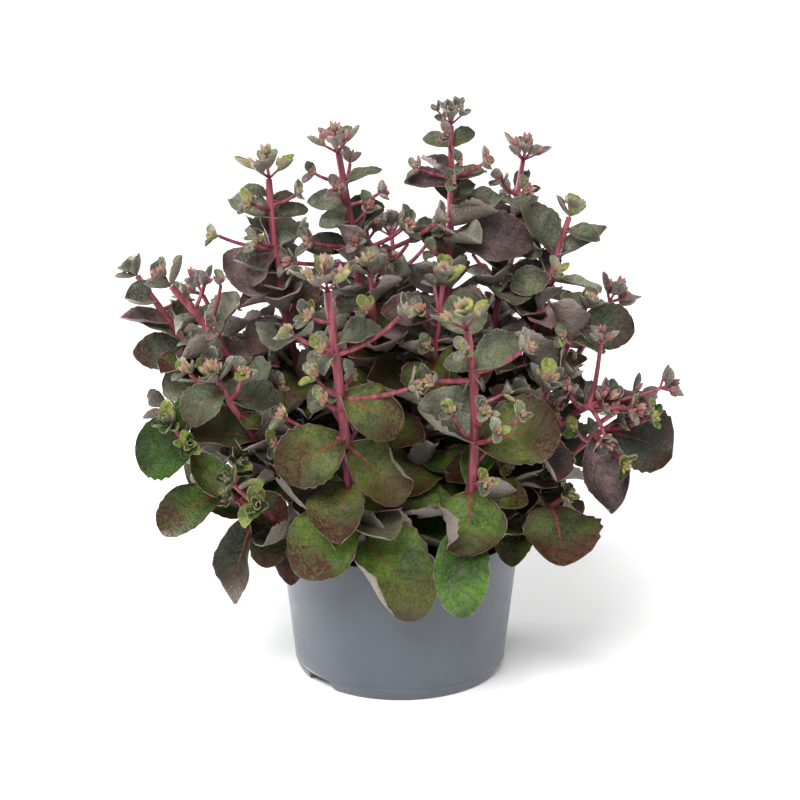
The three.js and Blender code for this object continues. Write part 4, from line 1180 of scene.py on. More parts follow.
@dataclass
class Drafts:
    """The three meshes of a stem, with the ways to draw its leaves, stalks and buds into them."""

    leaves: Draft = field(default_factory=Draft)
    stalks: Draft = field(default_factory=Draft)
    buds: Draft = field(default_factory=Draft)

    LEAF_THICK, BUD_LONG, BUD_WIDE, ARM_RADIUS = 1.7, 7.4, 4.1, 0.62
    LARGE_LEAF = 24
    TOOTH_DEPTH = 0.085
    STALK_TINT = (0.22, 0.034, 0.05)
    BUD_SHARES, BUD_SWELL = (0, 0.16, 0.4, 0.66, 0.88), (0.3, 0.85, 1.0, 0.74, 0.3)
    BUD_SIDES, BUD_RIDGE = 8, 0.15

    def leaf(self, leaf: Leaf) -> None:
        """Draws one leaf with a rounded, shallowly toothed edge.

        Args:
            leaf: The leaf.
        """
        rows, around, teeth = (18, 20, 8) if leaf.long > self.LARGE_LEAF else (9, 12, 4)
        t = np.repeat(1 - (1 - np.arange(rows) / rows) ** 1.45, around)
        angle = np.tile(2 * math.pi * np.arange(around) / around, rows)
        side, rise = np.cos(angle), np.sin(angle)
        tooth = np.abs(np.sin(teeth * math.pi * t + leaf.phase + np.sign(side)))
        deep = self.TOOTH_DEPTH * np.clip(4 * t - 0.6, 0, 1)
        u = side * (1 + deep * (tooth - 0.62) * np.abs(side) ** 6)
        step = 1e-3
        by_t = leaf.surface(np.minimum(t + step, 0.999), u) - leaf.surface(t - step, u)
        by_u = leaf.surface(t, u + step) - leaf.surface(t, u - step)
        normal = np.cross(by_t, by_u)
        normal /= np.linalg.norm(normal, axis=1)[:, None] + 1e-12
        thick = self.LEAF_THICK * min(1.0, 0.5 + leaf.long / 80) * (1 - 0.4 * t**3)
        spread = np.sign(rise) * np.abs(rise) ** 0.7 * thick / 2
        turned = (normal @ leaf.axes()[1]) < 0
        face = np.where(turned & (leaf.fold == 0), -1.0, 1.0)
        points = leaf.surface(t, u) + normal * (spread * face)[:, None]
        half = leaf.half_width(t)
        rim = np.minimum(half * (1 - np.abs(side)), leaf.long * (1 - t))
        place = np.stack([t * leaf.long, half * np.abs(u), rim], 1)
        mood = np.stack([rise, np.full_like(rise, leaf.red), t], 1)
        tip = leaf.surface(np.array([1.0]), np.array([0.0]))[0]
        shade = np.array(leaf.tint.value) * mix(0.82, 1.18, leaf.chance)
        self.leaves.loft(points.reshape(rows, around, 3), shade, place, mood, tip)

    def stalk(self, points: Vec, radii: Vec, sides: int) -> None:
        """Draws a stalk along a line.

        Args:
            points: The line.
            radii: Its radius at each point.
            sides: The points of a ring.
        """
        rings, _, _, forward = tube_rings(points, radii, sides)
        turn = np.tile(np.arange(sides) / sides, len(points))
        place = np.stack([np.repeat(points[:, 2], sides), turn, np.repeat(radii, sides)], 1)
        tip = points[-1] + forward * 0.3
        self.stalks.loft(rings, self.STALK_TINT, place, np.zeros_like(place), tip)

    def arm(self, start: Vec, end: Vec, thick: float) -> None:
        """Draws one thin straight stalk."""
        line = np.array([start, (start + end) / 2, end])
        self.stalk(line, self.ARM_RADIUS * thick * vec(1.1, 1.0, 0.9), 5)

    def bud(self, root: Vec, towards: Vec, long: float, tint: Triple) -> None:
        """Draws one pointed bud with four low ridges.

        Args:
            root: Where it sits.
            towards: The unit direction that it points in.
            long: Its length.
            tint: Its colour.
        """
        shares, sides = vec(*self.BUD_SHARES), self.BUD_SIDES
        centre = root + shares[:, None] * long * towards
        radii = vec(*self.BUD_SWELL) * (long * self.BUD_WIDE / self.BUD_LONG / 2)
        rings, *_ = tube_rings(centre, radii, sides)
        ridge = 1 + self.BUD_RIDGE * (np.arange(sides) % 2 * 2 - 1) * (shares[:, None] > 0.1)
        rings = centre[:, None, :] + (rings - centre[:, None, :]) * ridge[:, :, None]
        place = np.repeat(np.stack([shares, shares * 0, shares * 0], 1), sides, 0)
        self.buds.loft(rings, tint, place, np.zeros_like(place), root + towards * long)


@dataclass
class HeadFilling:
    """Draws what a head holds: its two cupped leaves, with buds or young leaves inside them."""

    drafts: Drafts
    head: Head
    hue: BudHue

    TINTS = {FRESH: (LIME, LIME, BRIGHT), CREAM: (SILVER, LIME, GREY), ROSY: (MAUVE, SILVER, GREY)}
    TURN = 6.28

    def __post_init__(self) -> None:
        """Starts the head's draws and finds the point that its buds spread from."""
        self.draw = Series(self.head.key)
        self.tints = self.TINTS[self.hue]
        self.heart = self.head.at - self.head.forward * self.head.radius * 0.5

    def fill(self, kind: HeadKind) -> None:
        """Draws the two cupped leaves and what they hold.

        Args:
            kind: What the head looks like.
        """
        for i, cup in enumerate(self.head.cups()):
            along = unit(cup.out + cup.up * cup.EDGE)
            ways = (along, np.cross(along, cup.across))
            size = (cup.long * 1.06, cup.long * cup.WIDE * self.draw.between(0.8, 1.05))
            root, key = cup.root - cup.out * 2, self.head.key + 40 + i
            self.drafts.leaf(Leaf.aimed(root, ways, size, (0.34, -0.06), key, self.any_tint()))
        inside = {CUP: self.cup, CLUSTER: self.cluster, SPRAY: self.spray, LEAFY: self.rosette}
        inside[kind]()

    def any_tint(self) -> Tint:
        """One of the head's three leaf colours."""
        return self.tints[int(self.draw.between(0, 2.99))]

    def bunch(self, base: Vec, reach: float, count: int, lean: Vec) -> None:
        """Draws a bunch of buds that spread from one point.

        Args:
            base: The point.
            reach: How far the tips of the buds reach.
            count: How many there are.
            lean: The direction that the bunch leans in.
        """
        draw = self.draw
        for i in range(count):
            polar = math.acos(1 - (i + 0.3) / count * 0.8)
            way = self.head.way(GOLDEN_TURN * i + draw.between(-0.4, 0.4), polar)
            out = unit(way + lean * 0.6)
            long = min(self.drafts.BUD_LONG, 2.2 + 0.62 * reach) * draw.between(0.85, 1.15)
            tip = base + out * max(long * 1.05, reach * draw.between(0.85, 1.05))
            towards = unit(out + lean * 0.35)
            root = tip - towards * long
            self.drafts.bud(root, towards, long, self.hue.value[int(draw.between(0, 1.99))])
            self.drafts.arm(base, root + towards * 0.4, 0.8)

    def bract(self, root: Vec, ways: tuple[Vec, Vec], long: float, index: int, tint: Tint) -> None:
        """Draws a small leaf that points out and faces inwards, as one side of a cup.

        Args:
            root: Where it grows from.
            ways: The directions that it points in and faces.
            long: Its length.
            index: Its number in the head.
            tint: The colour of its upper face.
        """
        out, inner = ways
        key = self.head.key + 50 + index
        size = (long * 1.2, long * (0.52 + 0.24 * ((key * 7) % 5) / 4))
        up = np.cross(out, unit(np.cross(inner, out)))
        self.drafts.leaf(Leaf.aimed(root, (out, up), size, (0.42, -0.09), key, tint))

    def cup(self) -> None:
        """Fills a head with small bunches of buds and two or three upright inner leaves."""
        head, draw, r = self.head, self.draw, self.head.radius
        start = draw.between(0, self.TURN)
        for i in range(3 if r > 8 else 2):
            out = head.way(start + 2.2 * i, draw.between(0.75, 1.05))
            tint = self.any_tint()
            long = 3.5 + r * draw.between(0.8, 1.1)
            self.bract(self.heart + out, (out, head.forward), long, i, tint)
        bunches = 4 if r > 10 else 3 if r > 5 else 1
        for i in range(bunches):
            way = head.way(start + 1 + GOLDEN_TURN * i, 0.25 + 0.13 * i * (bunches > 1))
            base = self.heart + way * r * draw.between(0.55, 0.7)
            self.drafts.arm(self.heart, base, 1.1)
            self.bunch(base, 3 + r * 0.36, 4, way)

    def cluster(self) -> None:
        """Fills a head with bunches of buds on stalks, each over a small leaf."""
        head, draw, r = self.head, self.draw, self.head.radius
        start = draw.between(0, self.TURN)
        arms = 5 if r > 10 else 3
        turns = [start + self.TURN * i / arms for i in range(arms + 1)]
        ways = [head.forward, *(head.way(turn, draw.between(0.7, 1.05)) for turn in turns[:arms])]
        for i, way in enumerate(ways):
            base = self.heart + way * r * (draw.between(0.7, 1.0) if i else 1.1)
            self.drafts.arm(self.heart, base, 1.5)
            if i:
                root = self.heart + (base - self.heart) * 0.75
                out = unit(way + head.flat(turns[i]) * 0.15)
                self.bract(root, (out, head.forward), 5 + r * 0.6, i, self.tints[i % 3])
            self.bunch(base, 3.2 + r * 0.32, 4, way)

    def spray(self) -> None:
        """Fills a head with thin stalks that each end in small pointed leaflets and two buds."""
        head, draw = self.head, self.draw
        for i in range(8):
            way = head.way(GOLDEN_TURN * i, 0.25 + 0.12 * i)
            base = self.heart + way * head.radius * draw.between(0.8, 1.35)
            self.drafts.arm(self.heart, base, 1.2)
            for k in range(3):
                out = unit(way + head.flat(2.1 * k + i) * 0.7)
                long = draw.between(5, 8)
                self.bract(base, (out, way), long, 3 * i + k, self.tints[(i + k) % 3])
            self.bunch(base, 3.5, 2, way)

    def rosette(self) -> None:
        """Fills a head with young leaves that close over each other."""
        head = self.head
        start = self.draw.between(0, self.TURN)
        for i in range(7):
            out = head.way(start + GOLDEN_TURN * i, mix(1.05, 0.12, i / 6))
            long = (6 + head.radius) * mix(1.0, 0.55, i / 6)
            root = self.heart + head.forward * (0.5 * i)
            self.bract(root, (out, head.forward), long, i, self.tints[i % 3])


@dataclass(frozen=True)
class Level:
    """A number that a finish works out for every point of a surface."""

    board: "NodeBoard"
    socket: Socket

    def __add__(self, other: object) -> "Level":
        """The sum of two numbers."""
        return self.board.sum("ADD", self, other)

    def __sub__(self, other: object) -> "Level":
        """What is left of one number without the other."""
        return self.board.sum("SUBTRACT", self, other)

    def __mul__(self, other: object) -> "Level":
        """The product of two numbers."""
        return self.board.sum("MULTIPLY", self, other)

    def greatest(self, other: object) -> "Level":
        """The greater of two numbers."""
        return self.board.sum("MAXIMUM", self, other)

    def sine(self) -> "Level":
        """The sine of a number of radians."""
        return self.board.sum("SINE", self, 0.0)

    def step(self, low: float, high: float, start: float = 0, end: float = 1) -> "Level":
        """A smooth step between two limits, from a start to an end value.

        Args:
            low: The lower limit.
            high: The upper limit.
            start: The value below the lower limit.
            end: The value above the upper limit.

        Returns:
            The step.
        """
        node = self.board.add("MapRange")
        node.interpolation_type = "SMOOTHSTEP"
        for socket, number in zip(node.inputs, (self, low, high, start, end)):
            self.board.link(number, socket)
        return Level(self.board, node.outputs[0])


class NodeBoard:
    """A material's node tree, with short ways to add the nodes that the finishes use."""

    def __init__(self, name: str) -> None:
        """Makes the material, by its name, with an empty board.

        Args:
            name: The material's name.
        """
        self.material = bpy.data.materials.new(name)
        self.material.use_nodes = True
        self.tree = self.material.node_tree
        self.tree.nodes.clear()
        self.shader = self.add("BsdfPrincipled")
        self.link(self.shader.outputs[0], self.add("OutputMaterial").inputs["Surface"])
        self.coords = self.add("TexCoord").outputs["Object"]

    def add(self, kind: str) -> bpy.types.Node:
        """Adds a node of a kind."""
        return self.tree.nodes.new("ShaderNode" + kind)

    def link(self, source: object, target: Socket) -> None:
        """Links a socket, or sets a plain value, on a target socket.

        Args:
            source: The socket or the value.
            target: The socket that takes it.
        """
        source = source.socket if isinstance(source, Level) else source
        if isinstance(source, Socket):
            self.tree.links.new(source, target)
        elif isinstance(source, tuple) and len(source) == 3 and target.type == "RGBA":
            target.default_value = (*source, 1.0)
        else:
            target.default_value = source

    def tint(self) -> Socket:
        """The colour that the mesh stores for each point."""
        node = self.add("Attribute")
        node.attribute_name = "tint"
        return node.outputs["Color"]

    def stored(self, name: str) -> list[Level]:
        """The three numbers that the mesh stores under a name.

        Args:
            name: The name.

        Returns:
            The three numbers.
        """
        node, parts = self.add("Attribute"), self.add("SeparateXYZ")
        node.attribute_name = name
        self.link(node.outputs["Vector"], parts.inputs[0])
        return [Level(self, socket) for socket in parts.outputs]

    def noise(
        self, scale: float, detail: float = 2.0, rough: float = 0.5, squeeze: float = 1.0
    ) -> Level:
        """Soft noise from about 0.25 to 0.75.

        Args:
            scale: The number of its features in a metre.
            detail: How fine it gets.
            rough: How strong its fine part is.
            squeeze: The share of its features that is left along the height.

        Returns:
            The noise.
        """
        node = self.add("TexNoise")
        where = self.coords
        if squeeze != 1:
            stretch = self.add("VectorMath")
            stretch.operation = "MULTIPLY"
            self.link(self.coords, stretch.inputs[0])
            stretch.inputs[1].default_value = (1, 1, squeeze)
            where = stretch.outputs[0]
        self.link(where, node.inputs["Vector"])
        for name, value in (("Scale", scale), ("Detail", detail), ("Roughness", rough)):
            node.inputs[name].default_value = value
        return Level(self, node.outputs["Fac"])

    def sum(self, operation: str, a: object, b: object) -> Level:
        """A sum of two numbers, by any operation of the Math node.

        Args:
            operation: The operation's name.
            a: The first number.
            b: The second number.

        Returns:
            The sum.
        """
        node = self.add("Math")
        node.operation = operation
        self.link(a, node.inputs[0])
        self.link(b, node.inputs[1])
        return Level(self, node.outputs[0])

    def blend(self, share: object, a: object, b: object, kind: str = "MIX") -> Socket:
        """Two colours mixed by a share.

        Args:
            share: The share of the second colour.
            a: The first colour.
            b: The second colour.
            kind: How the two are mixed.

        Returns:
            The mixed colour.
        """
        node = self.add("Mix")
        node.data_type = "RGBA"
        node.blend_type = kind
        for index, source in ((0, share), (6, a), (7, b)):
            self.link(source, node.inputs[index])
        return node.outputs[2]

    def bump(self, height: Level, strength: float, depth: float) -> None:
        """Presses a height into the surface; depth is in metres.

        Args:
            height: The height.
            strength: How much of it shows, from 0 to 1.
            depth: How deep it goes.
        """
        node = self.add("Bump")
        node.inputs["Strength"].default_value = strength
        node.inputs["Distance"].default_value = depth
        self.link(height, node.inputs["Height"])
        self.link(node.outputs[0], self.shader.inputs["Normal"])

    def finish(self, colour: object, rough: object, sheen: float) -> Material:
        """Sets the shader's colour, roughness and sheen.

        Args:
            colour: The colour.
            rough: The roughness.
            sheen: The strength of its reflections.

        Returns:
            The material.
        """
        self.link(colour, self.shader.inputs["Base Color"])
        self.link(rough, self.shader.inputs["Roughness"])
        self.shader.inputs["Specular IOR Level"].default_value = sheen
        return self.material


@dataclass(frozen=True)
class LeafFinish:
    """The skin of a leaf: waxy, mottled, with a pale thin margin and a paler underside."""

    name: str
    bloom: float
    rough: float
    light: float
    sheen: float
    brown: Triple = (0.05, 0.009, 0.003)
    margin: Triple = (0.46, 0.3, 0.27)
    under: Triple = (0.3, 0.255, 0.22)
    wax: Triple = (0.17, 0.165, 0.15)
    rib: Triple = (0.26, 0.04, 0.03)

    def build(self) -> Material:
        """Makes the material.

        Returns:
            The material.
        """
        board = NodeBoard(self.name)
        along, across, rim = board.stored("place")
        face, red, share = board.stored("mood")
        broad, patchy = board.noise(38, 3), board.noise(120, 4, 0.6)
        fine, speck = board.noise(480, 4, 0.65), board.noise(1500, 1)
        slant = along * 0.8 - across * 0.55 + patchy * 9.0
        vein = slant.sine().step(0.7, 1.0) * fine.step(0.35, 0.6)
        mottle = broad.step(0.34, 0.66, 0.45 * self.light, 1.4 * self.light)
        colour = board.blend(1.0, board.tint(), mottle * fine.step(0.34, 0.64, 0.68, 1.28), "MULTIPLY")
        for wax in (patchy.step(0.45, 0.7) * self.bloom, speck.step(0.62, 0.72) * 0.1, vein * 0.06):
            colour = board.blend(wax, colour, self.wax)
        flush = red * 1.5
        outer = (share + broad).step(1.02, 1.34)
        edge = (rim + patchy * -9.0).step(-5.5, -1.8, 1, 0)
        foot = (along + patchy * 8.0).step(6.0, 13.0, 1, 0)
        burnt = outer.greatest(edge).greatest(foot) * (fine + patchy * 0.3).step(0.56, 0.7, 0.35, 1)
        colour = board.blend(burnt * flush, colour, self.brown)
        rib = (across + share * 1.7 + fine * -0.8).step(0.3, 1.25, 1, 0)
        colour = board.blend(rib * flush, colour, self.rib)
        below = board.blend(red.step(0.0, 0.6, 0.45, 0.85), colour, self.under)
        colour = board.blend(face.step(-0.25, 0.1, 1, 0), colour, below)
        lip = rim.step(0.05, 0.42, 1, 0) * patchy.step(0.42, 0.62, 0.08, 0.85)
        colour = board.blend(lip, colour, self.margin)
        board.bump((fine + speck * 0.35) + (patchy + vein * 0.35), 0.7, 0.0019)
        rough = patchy.step(0.3, 0.7, self.rough - 0.1, self.rough + 0.12)
        return board.finish(colour, rough, self.sheen)


@dataclass(frozen=True)
class StalkFinish:
    """The crimson skin of the stems, darker and browner near the soil."""

    name: str = "crimson_stalk"
    bright: Triple = (0.33, 0.075, 0.105)
    deep: Triple = (0.15, 0.024, 0.038)
    base: Triple = (0.06, 0.016, 0.012)
    dot: Triple = (0.36, 0.17, 0.17)

    def build(self) -> Material:
        """Makes the material.

        Returns:
            The material.
        """
        board = NodeBoard(self.name)
        height, _, _ = board.stored("place")
        streak, dots = board.noise(260, 3, squeeze=0.12), board.noise(900, 2)
        colour = board.blend(streak.step(0.35, 0.68), self.deep, self.bright)
        colour = board.blend(height.step(96, 175, 0.75, 0), colour, self.base)
        colour = board.blend(dots.step(0.6, 0.75) * 0.2, colour, self.dot)
        board.bump(streak + dots, 0.3, 0.0005)
        return board.finish(colour, dots.step(0.3, 0.7, 0.36, 0.5), 0.4)


@dataclass(frozen=True)
class BudFinish:
    """Closed buds: cream to green, flushed pink at their tips."""

    name: str = "bud_skin"
    tip: Triple = (0.3, 0.1, 0.1)

    def build(self) -> Material:
        """Makes the material.

        Returns:
            The material.
        """
        board = NodeBoard(self.name)
        tint = board.tint()
        share, _, _ = board.stored("place")
        patch = board.noise(420, 2)
        colour = board.blend(patch.step(0.35, 0.7), tint, board.blend(0.35, tint, self.tip))
        colour = board.blend((share + patch * 0.5).step(0.85, 1.3, 0, 0.75), colour, self.tip)
        board.bump(board.noise(1600, 2), 0.25, 0.0004)
        return board.finish(colour, patch.step(0.3, 0.7, 0.42, 0.6), 0.4)


@dataclass(frozen=True)
class PotFinish:
    """Blue-grey satin plastic with a fine moulded grain and a little dust."""

    name: str = "grey_nursery_plastic"
    light: Triple = (0.082, 0.095, 0.112)
    dark: Triple = (0.066, 0.078, 0.094)
    dust: Triple = (0.14, 0.14, 0.136)

    def build(self) -> Material:
        """Makes the material.

        Returns:
            The material.
        """
        board = NodeBoard(self.name)
        cloud, drawn = board.noise(14, 3), board.noise(120, 3, squeeze=0.06)
        grain, dust = board.noise(2600, 2), board.noise(70, 4, 0.65)
        colour = board.blend(cloud.step(0.3, 0.7), self.dark, self.light)
        for layer in (drawn.step(0.5, 0.8) * 0.12, dust.step(0.58, 0.8) * 0.2):
            colour = board.blend(layer, colour, self.dust)
        board.bump(grain + drawn * 0.6, 0.12, 0.0003)
        return board.finish(colour, dust.step(0.35, 0.75, 0.3, 0.42), 0.5)


@dataclass(frozen=True)
class SoilFinish:
    """Dark damp peat with lighter chips."""

    name: str = "dark_peat"
    damp: Triple = (0.006, 0.0045, 0.0035)
    dry: Triple = (0.035, 0.022, 0.014)
    chip: Triple = (0.12, 0.075, 0.04)

    def build(self) -> Material:
        """Makes the material.

        Returns:
            The material.
        """
        board = NodeBoard(self.name)
        crumb, chips = board.noise(330, 4, 0.7), board.noise(900, 2)
        colour = board.blend(crumb.step(0.35, 0.65), self.damp, self.dry)
        colour = board.blend(chips.step(0.62, 0.75) * 0.5, colour, self.chip)
        board.bump(crumb + chips, 0.9, 0.002)
        return board.finish(colour, crumb.step(0.3, 0.7, 0.8, 0.97), 0.25)


@dataclass(frozen=True)
class FloorFinish:
    """A plain pale studio floor."""

    name: str = "pale_floor"

    def build(self) -> Material:
        """Makes the material.

        Returns:
            The material.
        """
        board = NodeBoard(self.name)
        colour = board.blend(board.noise(40, 2), (0.94, 0.94, 0.94), (0.97, 0.97, 0.97))
        return board.finish(colour, 0.8, 0.1)


def ring(radius: float, height: float, sides: int) -> Vec:
    """The points of a level circle round the axis."""
    turns = 2 * math.pi * np.arange(sides) / sides
    return np.stack([radius * np.cos(turns), radius * np.sin(turns), np.full(sides, height)], 1)


def turned_mesh(name: str, rows: list[Vec], sides: int) -> bpy.types.Mesh:
    """A closed mesh through rings of points that stand between two points of the axis.

    Args:
        name: The mesh's name.
        rows: The first point, the rings in their order and the last point, in millimetres.
        sides: The points of a ring.

    Returns:
        The mesh, in metres.
    """
    points = np.vstack(rows) * MM
    end = len(points) - 1
    last = end - sides
    faces = []
    for k in range(sides):
        n = (k + 1) % sides
        faces.append((0, 1 + n, 1 + k))
        faces += [(a + k, a + n, a + sides + n, a + sides + k) for a in range(1, last, sides)]
        faces.append((last + k, last + n, end))
    mesh = bpy.data.meshes.new(name)
    mesh.from_pydata(points.tolist(), [], faces)
    mesh.update()
    return mesh


@dataclass
class PotBuilder:
    """Makes the pot and the soil in it."""

    pot: Pot
    crowd: Crowd

    NOTCH_STEPS, NOTCH_INSIDE, NOTCH_OUTSIDE, NOTCH_BELOW = 8, 12, 8, -2
    DRAIN_SIDES, DRAIN_REACH, DRAIN_TURN = 24, 4, 20
    SOIL_RINGS, SOIL_SIDES, LUMPS, LUMP_LIMIT = 44, 120, 420, 1.6

    def cutter(self, corners: list, faces: list[tuple[int, ...]]) -> bpy.types.Object:
        """A hidden solid that cuts the pot, from corners in millimetres.

        Args:
            corners: Its corners.
            faces: Its faces, by the numbers of their corners.

        Returns:
            The hidden solid.
        """
        mesh = bpy.data.meshes.new("cutter")
        mesh.from_pydata([tuple(c * MM for c in p) for p in corners], [], faces)
        return placed("cutter", mesh)

    def notch(self, middle: float) -> bpy.types.Object:
        """The solid of one notch of the foot, whose sides lean apart towards the floor.

        Args:
            middle: The direction of its middle, in degrees.

        Returns:
            The hidden solid.
        """
        pot, steps, corners, faces = self.pot, self.NOTCH_STEPS, [], [(0, 1, 3, 2)]
        low, high = (self.NOTCH_BELOW, pot.notch_span), (pot.notch_height, pot.notch_top_span)
        for i in range(steps + 1):
            for height, span in (low, high):
                turn = math.radians(middle + (i / steps - 0.5) * span)
                for r in (pot.foot_radius - self.NOTCH_INSIDE, pot.foot_radius + self.NOTCH_OUTSIDE):
                    corners.append((r * math.cos(turn), r * math.sin(turn), height))
        for a in range(0, 4 * steps, 4):
            b = a + 4
            faces += [(a, b, b + 1, a + 1), (a + 2, a + 3, b + 3, b + 2)]
            faces += [(a, a + 2, b + 2, b), (a + 1, b + 1, b + 3, a + 3)]
        end = 4 * steps
        faces.append((end, end + 2, end + 3, end + 1))
        return self.cutter(corners, faces)

    def drain(self, index: int) -> bpy.types.Object:
        """The solid of one round drain hole.

        Args:
            index: The hole's number.

        Returns:
            The hidden solid.
        """
        pot, sides, reach = self.pot, self.DRAIN_SIDES, self.DRAIN_REACH
        turn = math.radians(360 * index / pot.drain_count + self.DRAIN_TURN)
        centre = vec(math.cos(turn), math.sin(turn), 0) * pot.drain_circle
        ends = (pot.floor_top - reach, pot.floor_top + reach)
        corners = np.vstack([centre + ring(pot.drain_radius, height, sides) for height in ends])
        faces = [tuple(range(sides - 1, -1, -1)), tuple(range(sides, 2 * sides))]
        faces += [(k, (k + 1) % sides, sides + (k + 1) % sides, sides + k) for k in range(sides)]
        return self.cutter(corners.tolist(), faces)

    def build_pot(self, material: Material) -> None:
        """Makes the pot with its notches and drain holes cut.

        Args:
            material: Its finish.
        """
        name, sides = "nursery_pot", self.pot.sides
        first, *profile, last = self.pot.profile()
        rings = [ring(r, z, sides) for r, z in profile]
        piece = placed(name, turned_mesh(name, [vec(0, 0, first[1]), *rings, vec(0, 0, last[1])], sides))
        cutters = [self.notch(middle) for middle in self.pot.notch_middles]
        cutters += [self.drain(i) for i in range(self.pot.drain_count)]
        for cut in cutters:
            modifier = piece.modifiers.new("cut", "BOOLEAN")
            modifier.operation, modifier.solver, modifier.object = "DIFFERENCE", "EXACT", cut
        bpy.context.view_layer.update()
        graph = bpy.context.evaluated_depsgraph_get()
        mesh = bpy.data.meshes.new_from_object(piece.evaluated_get(graph))
        for made in [piece, *cutters]:
            bpy.data.objects.remove(made)
        mesh.name = name
        mesh.materials.clear()
        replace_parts(dress(name, mesh, material), "pot")

    def build_soil(self, material: Material) -> None:
        """Makes the soil: a lumpy crumbled surface over a plain filled body.

        Args:
            material: Its finish.
        """
        pot, top, crown = self.pot, self.crowd.soil_top, self.crowd.soil_crown
        edge = pot.at(top, pot.wall + 0.4)[0]
        base, low = pot.at(pot.floor_top + 0.4, pot.wall + 0.8)
        draw = Series(77)
        limits = ((-80, 80), (-80, 80), (2, 6), (-0.8, 1.3))
        lumps = [[draw.between(*pair) for pair in limits] for _ in range(self.LUMPS)]
        x, y, size, lift = np.array(lumps).T
        rows = [vec(0, 0, low), ring(base, low, self.SOIL_SIDES)]
        for i in range(self.SOIL_RINGS):
            r = edge * (1 - i / self.SOIL_RINGS)
            row = ring(r, top + crown * (1 - (r / edge) ** 2) * 0.8 - 0.6, self.SOIL_SIDES)
            gap = ((x - row[:, :1]) ** 2 + (y - row[:, 1:2]) ** 2) / size**2
            rise = np.minimum(self.LUMP_LIMIT, (lift * np.exp(-gap)).sum(1))
            row[:, 2] += rise * (0.4 if i == 0 else 1)
            rows.append(row)
        rows.append(vec(0, 0, top + crown * 0.8))
        mesh = turned_mesh("peat_soil", rows, self.SOIL_SIDES)
        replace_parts(dress("peat_soil", mesh, material), "soil")


@dataclass
class PlantBuilder:
    """Makes the visible pieces of every stem."""

    leaf_finishes: dict[str, Material]
    stalk_finish: Material
    bud_finish: Material
    soil_top: float

    FOLDS = {
        "stem_front_left": {2: 0.35, 5: 0.55, 7: -0.24},
        "stem_front_right": {4: 0.3, 6: -0.6},
        "stem_right_low": {1: 0.3},
    }
    FLUSH = {GREEN: 0.85, OLIVE: 1.25, BRIGHT: 0.1, DARK: 0.75, PURPLE: 0.6, GREY: 0.4, LIME: 0.05}
    UPPER, MIDDLE = 250, 200
    STEPS, SIDES, SHOOT_STEPS, SHOOT_SIDES = 40, 14, 12, 8

    def slot_of(self, stem: Stem) -> str:
        """The record's slot for a stem, by the height of its top.

        Args:
            stem: The stem.

        Returns:
            The slot's name.
        """
        if stem.top[2] > self.UPPER:
            return "foliage_upper"
        return "foliage_middle" if stem.top[2] > self.MIDDLE else "foliage_lower"

    def build(self, stem: Stem) -> None:
        """Makes a stem's leaves, stalks and buds as pieces that stand for its node.

        Args:
            stem: The stem.
        """
        drafts, plan, slot = Drafts(), stem.plan, self.slot_of(stem)
        self.draw_stalks(stem, drafts)
        folds = self.FOLDS.get(plan.name, {})
        for i, leaf in enumerate([*stem.blades, *stem.extras]):
            drafts.leaf(self.aged(leaf, folds.get(i, 0.0)))
        HeadFilling(drafts, stem.head, plan.hue).fill(plan.heads[0])
        for shoot in stem.shoots:
            HeadFilling(drafts, shoot.head, plan.hue).fill(plan.heads[1])
        for word, draft, material in (
            ("leaves", drafts.leaves, self.leaf_finishes[slot]),
            ("stalks", drafts.stalks, self.stalk_finish),
            ("buds", drafts.buds, self.bud_finish),
        ):
            if draft.count:
                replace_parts(draft.to_object(f"{plan.name}_{word}", material, slot), plan.name)

    def aged(self, leaf: Leaf, fold: float) -> Leaf:
        """The leaf with its buckles, its fold and the brown-red flush that its colour brings."""
        red = self.FLUSH.get(leaf.tint, 0.25) * mix(0.35, 1.0, leaf.chance)
        return replace(leaf, red=red, buckle=1.0, fold=fold, cup=leaf.cup + 0.06)

    def draw_stalks(self, stem: Stem, drafts: Drafts) -> None:
        """Draws a stem, a little swollen where its leaves grow, and its shoots.

        Args:
            stem: The stem.
            drafts: The meshes to draw them in.
        """
        share = np.arange(self.STEPS + 1) / self.STEPS
        line = np.vstack([vec(stem.root[0], stem.root[1], self.soil_top - 8), stem.points(share)])
        radii = stem.thick / 2 * (1.1 + (0.68 - 1.1) * np.concatenate([[0], share])) * 0.9
        for knot in sorted({round(leaf.root[2] / 4) * 4 for leaf in stem.blades}):
            radii = radii * (1 + 0.13 * np.exp(-(((line[:, 2] - knot) / 3.2) ** 2)))
        drafts.stalk(line, radii, self.SIDES)
        share = np.arange(self.SHOOT_STEPS + 1) / self.SHOOT_STEPS
        for shoot in stem.shoots:
            thick = (2.0 - 0.6 * share) * min(1.0, 0.55 + 0.6 * shoot.size)
            drafts.stalk(shoot.points(share), thick, self.SHOOT_SIDES)


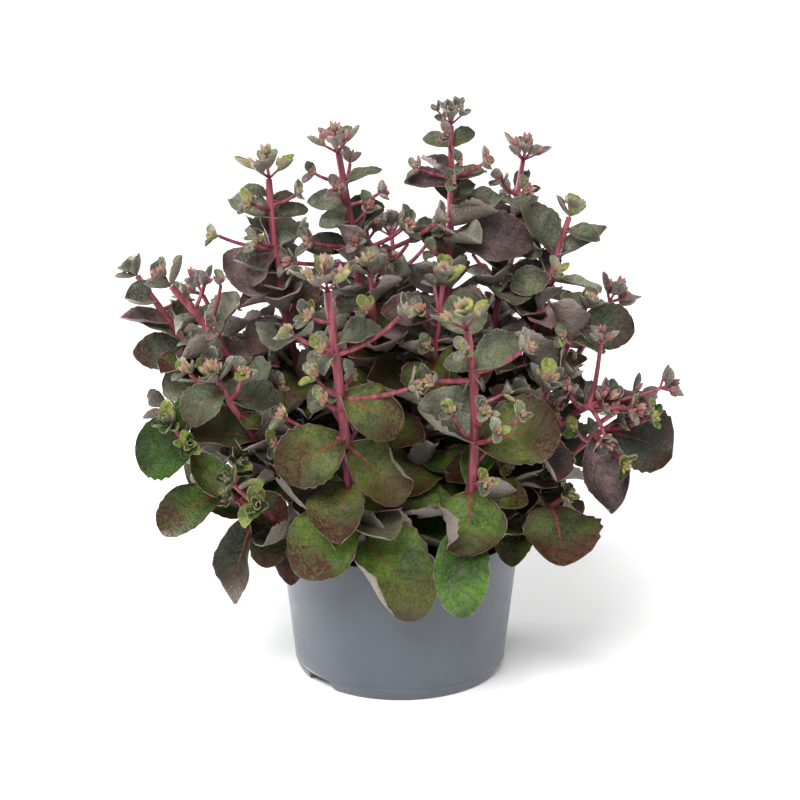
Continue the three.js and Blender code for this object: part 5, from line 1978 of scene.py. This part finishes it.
@dataclass
class Studio:
    """Camera, lights and floor, in metres and degrees."""

    target: Triple = (0, 0, 0.1956)
    distance: float = 1.8
    pitch: float = 17.77
    lens: float = 116.37
    far: float = 50
    air: float = 0.5
    half_floor: float = 9.0

    def build(self) -> None:
        """Makes the camera, the air, the lights and the floor."""
        scene, p = bpy.context.scene, math.radians(self.pitch)
        camera = placed("camera", bpy.data.cameras.new("camera"))
        camera.data.lens, camera.data.clip_end = self.lens, self.far
        height = self.target[2] + self.distance * math.sin(p)
        camera.location = (0, -self.distance * math.cos(p), height)
        camera.rotation_euler = (math.pi / 2 - p, 0, 0)
        scene.camera = camera
        scene.view_settings.view_transform = "Standard"
        world = bpy.data.worlds.new("studio_air")
        world.use_nodes = True
        for socket, value in zip(world.node_tree.nodes["Background"].inputs, ((1, 1, 1, 1), self.air)):
            socket.default_value = value
        scene.world = world
        self.lamp("soft_sun", "SUN", (-0.32, -0.9, 1.35), 3.5).angle = math.radians(30)
        self.lamp("edge_left", "AREA", (-1.3, 0.5, 0.3), 32).size = 0.8
        self.lamp("edge_right", "AREA", (1.4, 0.4, 0.4), 9).size = 0.6
        self.floor()

    def lamp(self, name: str, kind: str, place: Triple, power: float) -> bpy.types.Light:
        """Adds a light that faces the plant.

        Args:
            name: The light's name.
            kind: A sun or a square area light.
            place: Where it shines from, in metres.
            power: Its power in watts, and for a sun in watts a square metre.

        Returns:
            The light's data.
        """
        data = bpy.data.lights.new(name, kind)
        data.energy = power
        lamp = placed(name, data)
        lamp.location = place
        lamp.rotation_euler = (Vector(self.target) - Vector(place)).to_track_quat("-Z", "Y").to_euler()
        return data

    def floor(self) -> None:
        """Adds the pale floor."""
        mesh, half = bpy.data.meshes.new("studio_floor"), self.half_floor
        corners = [(-half, -half, 0), (half, -half, 0), (half, half, 0), (-half, half, 0)]
        mesh.from_pydata(corners, [], [(0, 1, 2, 3)])
        mesh.materials.append(FloorFinish().build())
        placed("studio_floor", mesh)


def main() -> None:
    """Builds the dressed plant in its studio."""
    logging.basicConfig(level=logging.INFO, format="%(message)s")
    pot = Pot()
    crowd = Crowd(pot)
    plant = Plant(pot, crowd)
    plant.grow()
    for word in ("blades", "extras", "shoots"):
        LOG.info("%s: %d", word, sum(len(getattr(stem, word)) for stem in plant.stems))
    potter = PotBuilder(pot, crowd)
    potter.build_pot(PotFinish().build())
    potter.build_soil(SoilFinish().build())
    finishes = {
        "foliage_upper": LeafFinish("upper_leaf", 0.2, 0.38, 1.3, 0.36).build(),
        "foliage_middle": LeafFinish("middle_leaf", 0.08, 0.35, 0.88, 0.33).build(),
        "foliage_lower": LeafFinish("lower_leaf", 0.02, 0.32, 0.72, 0.3).build(),
    }
    builder = PlantBuilder(finishes, StalkFinish().build(), BudFinish().build(), crowd.soil_top)
    for stem in plant.stems:
        builder.build(stem)
    Studio().build()


if __name__ == "__main__":
    main()
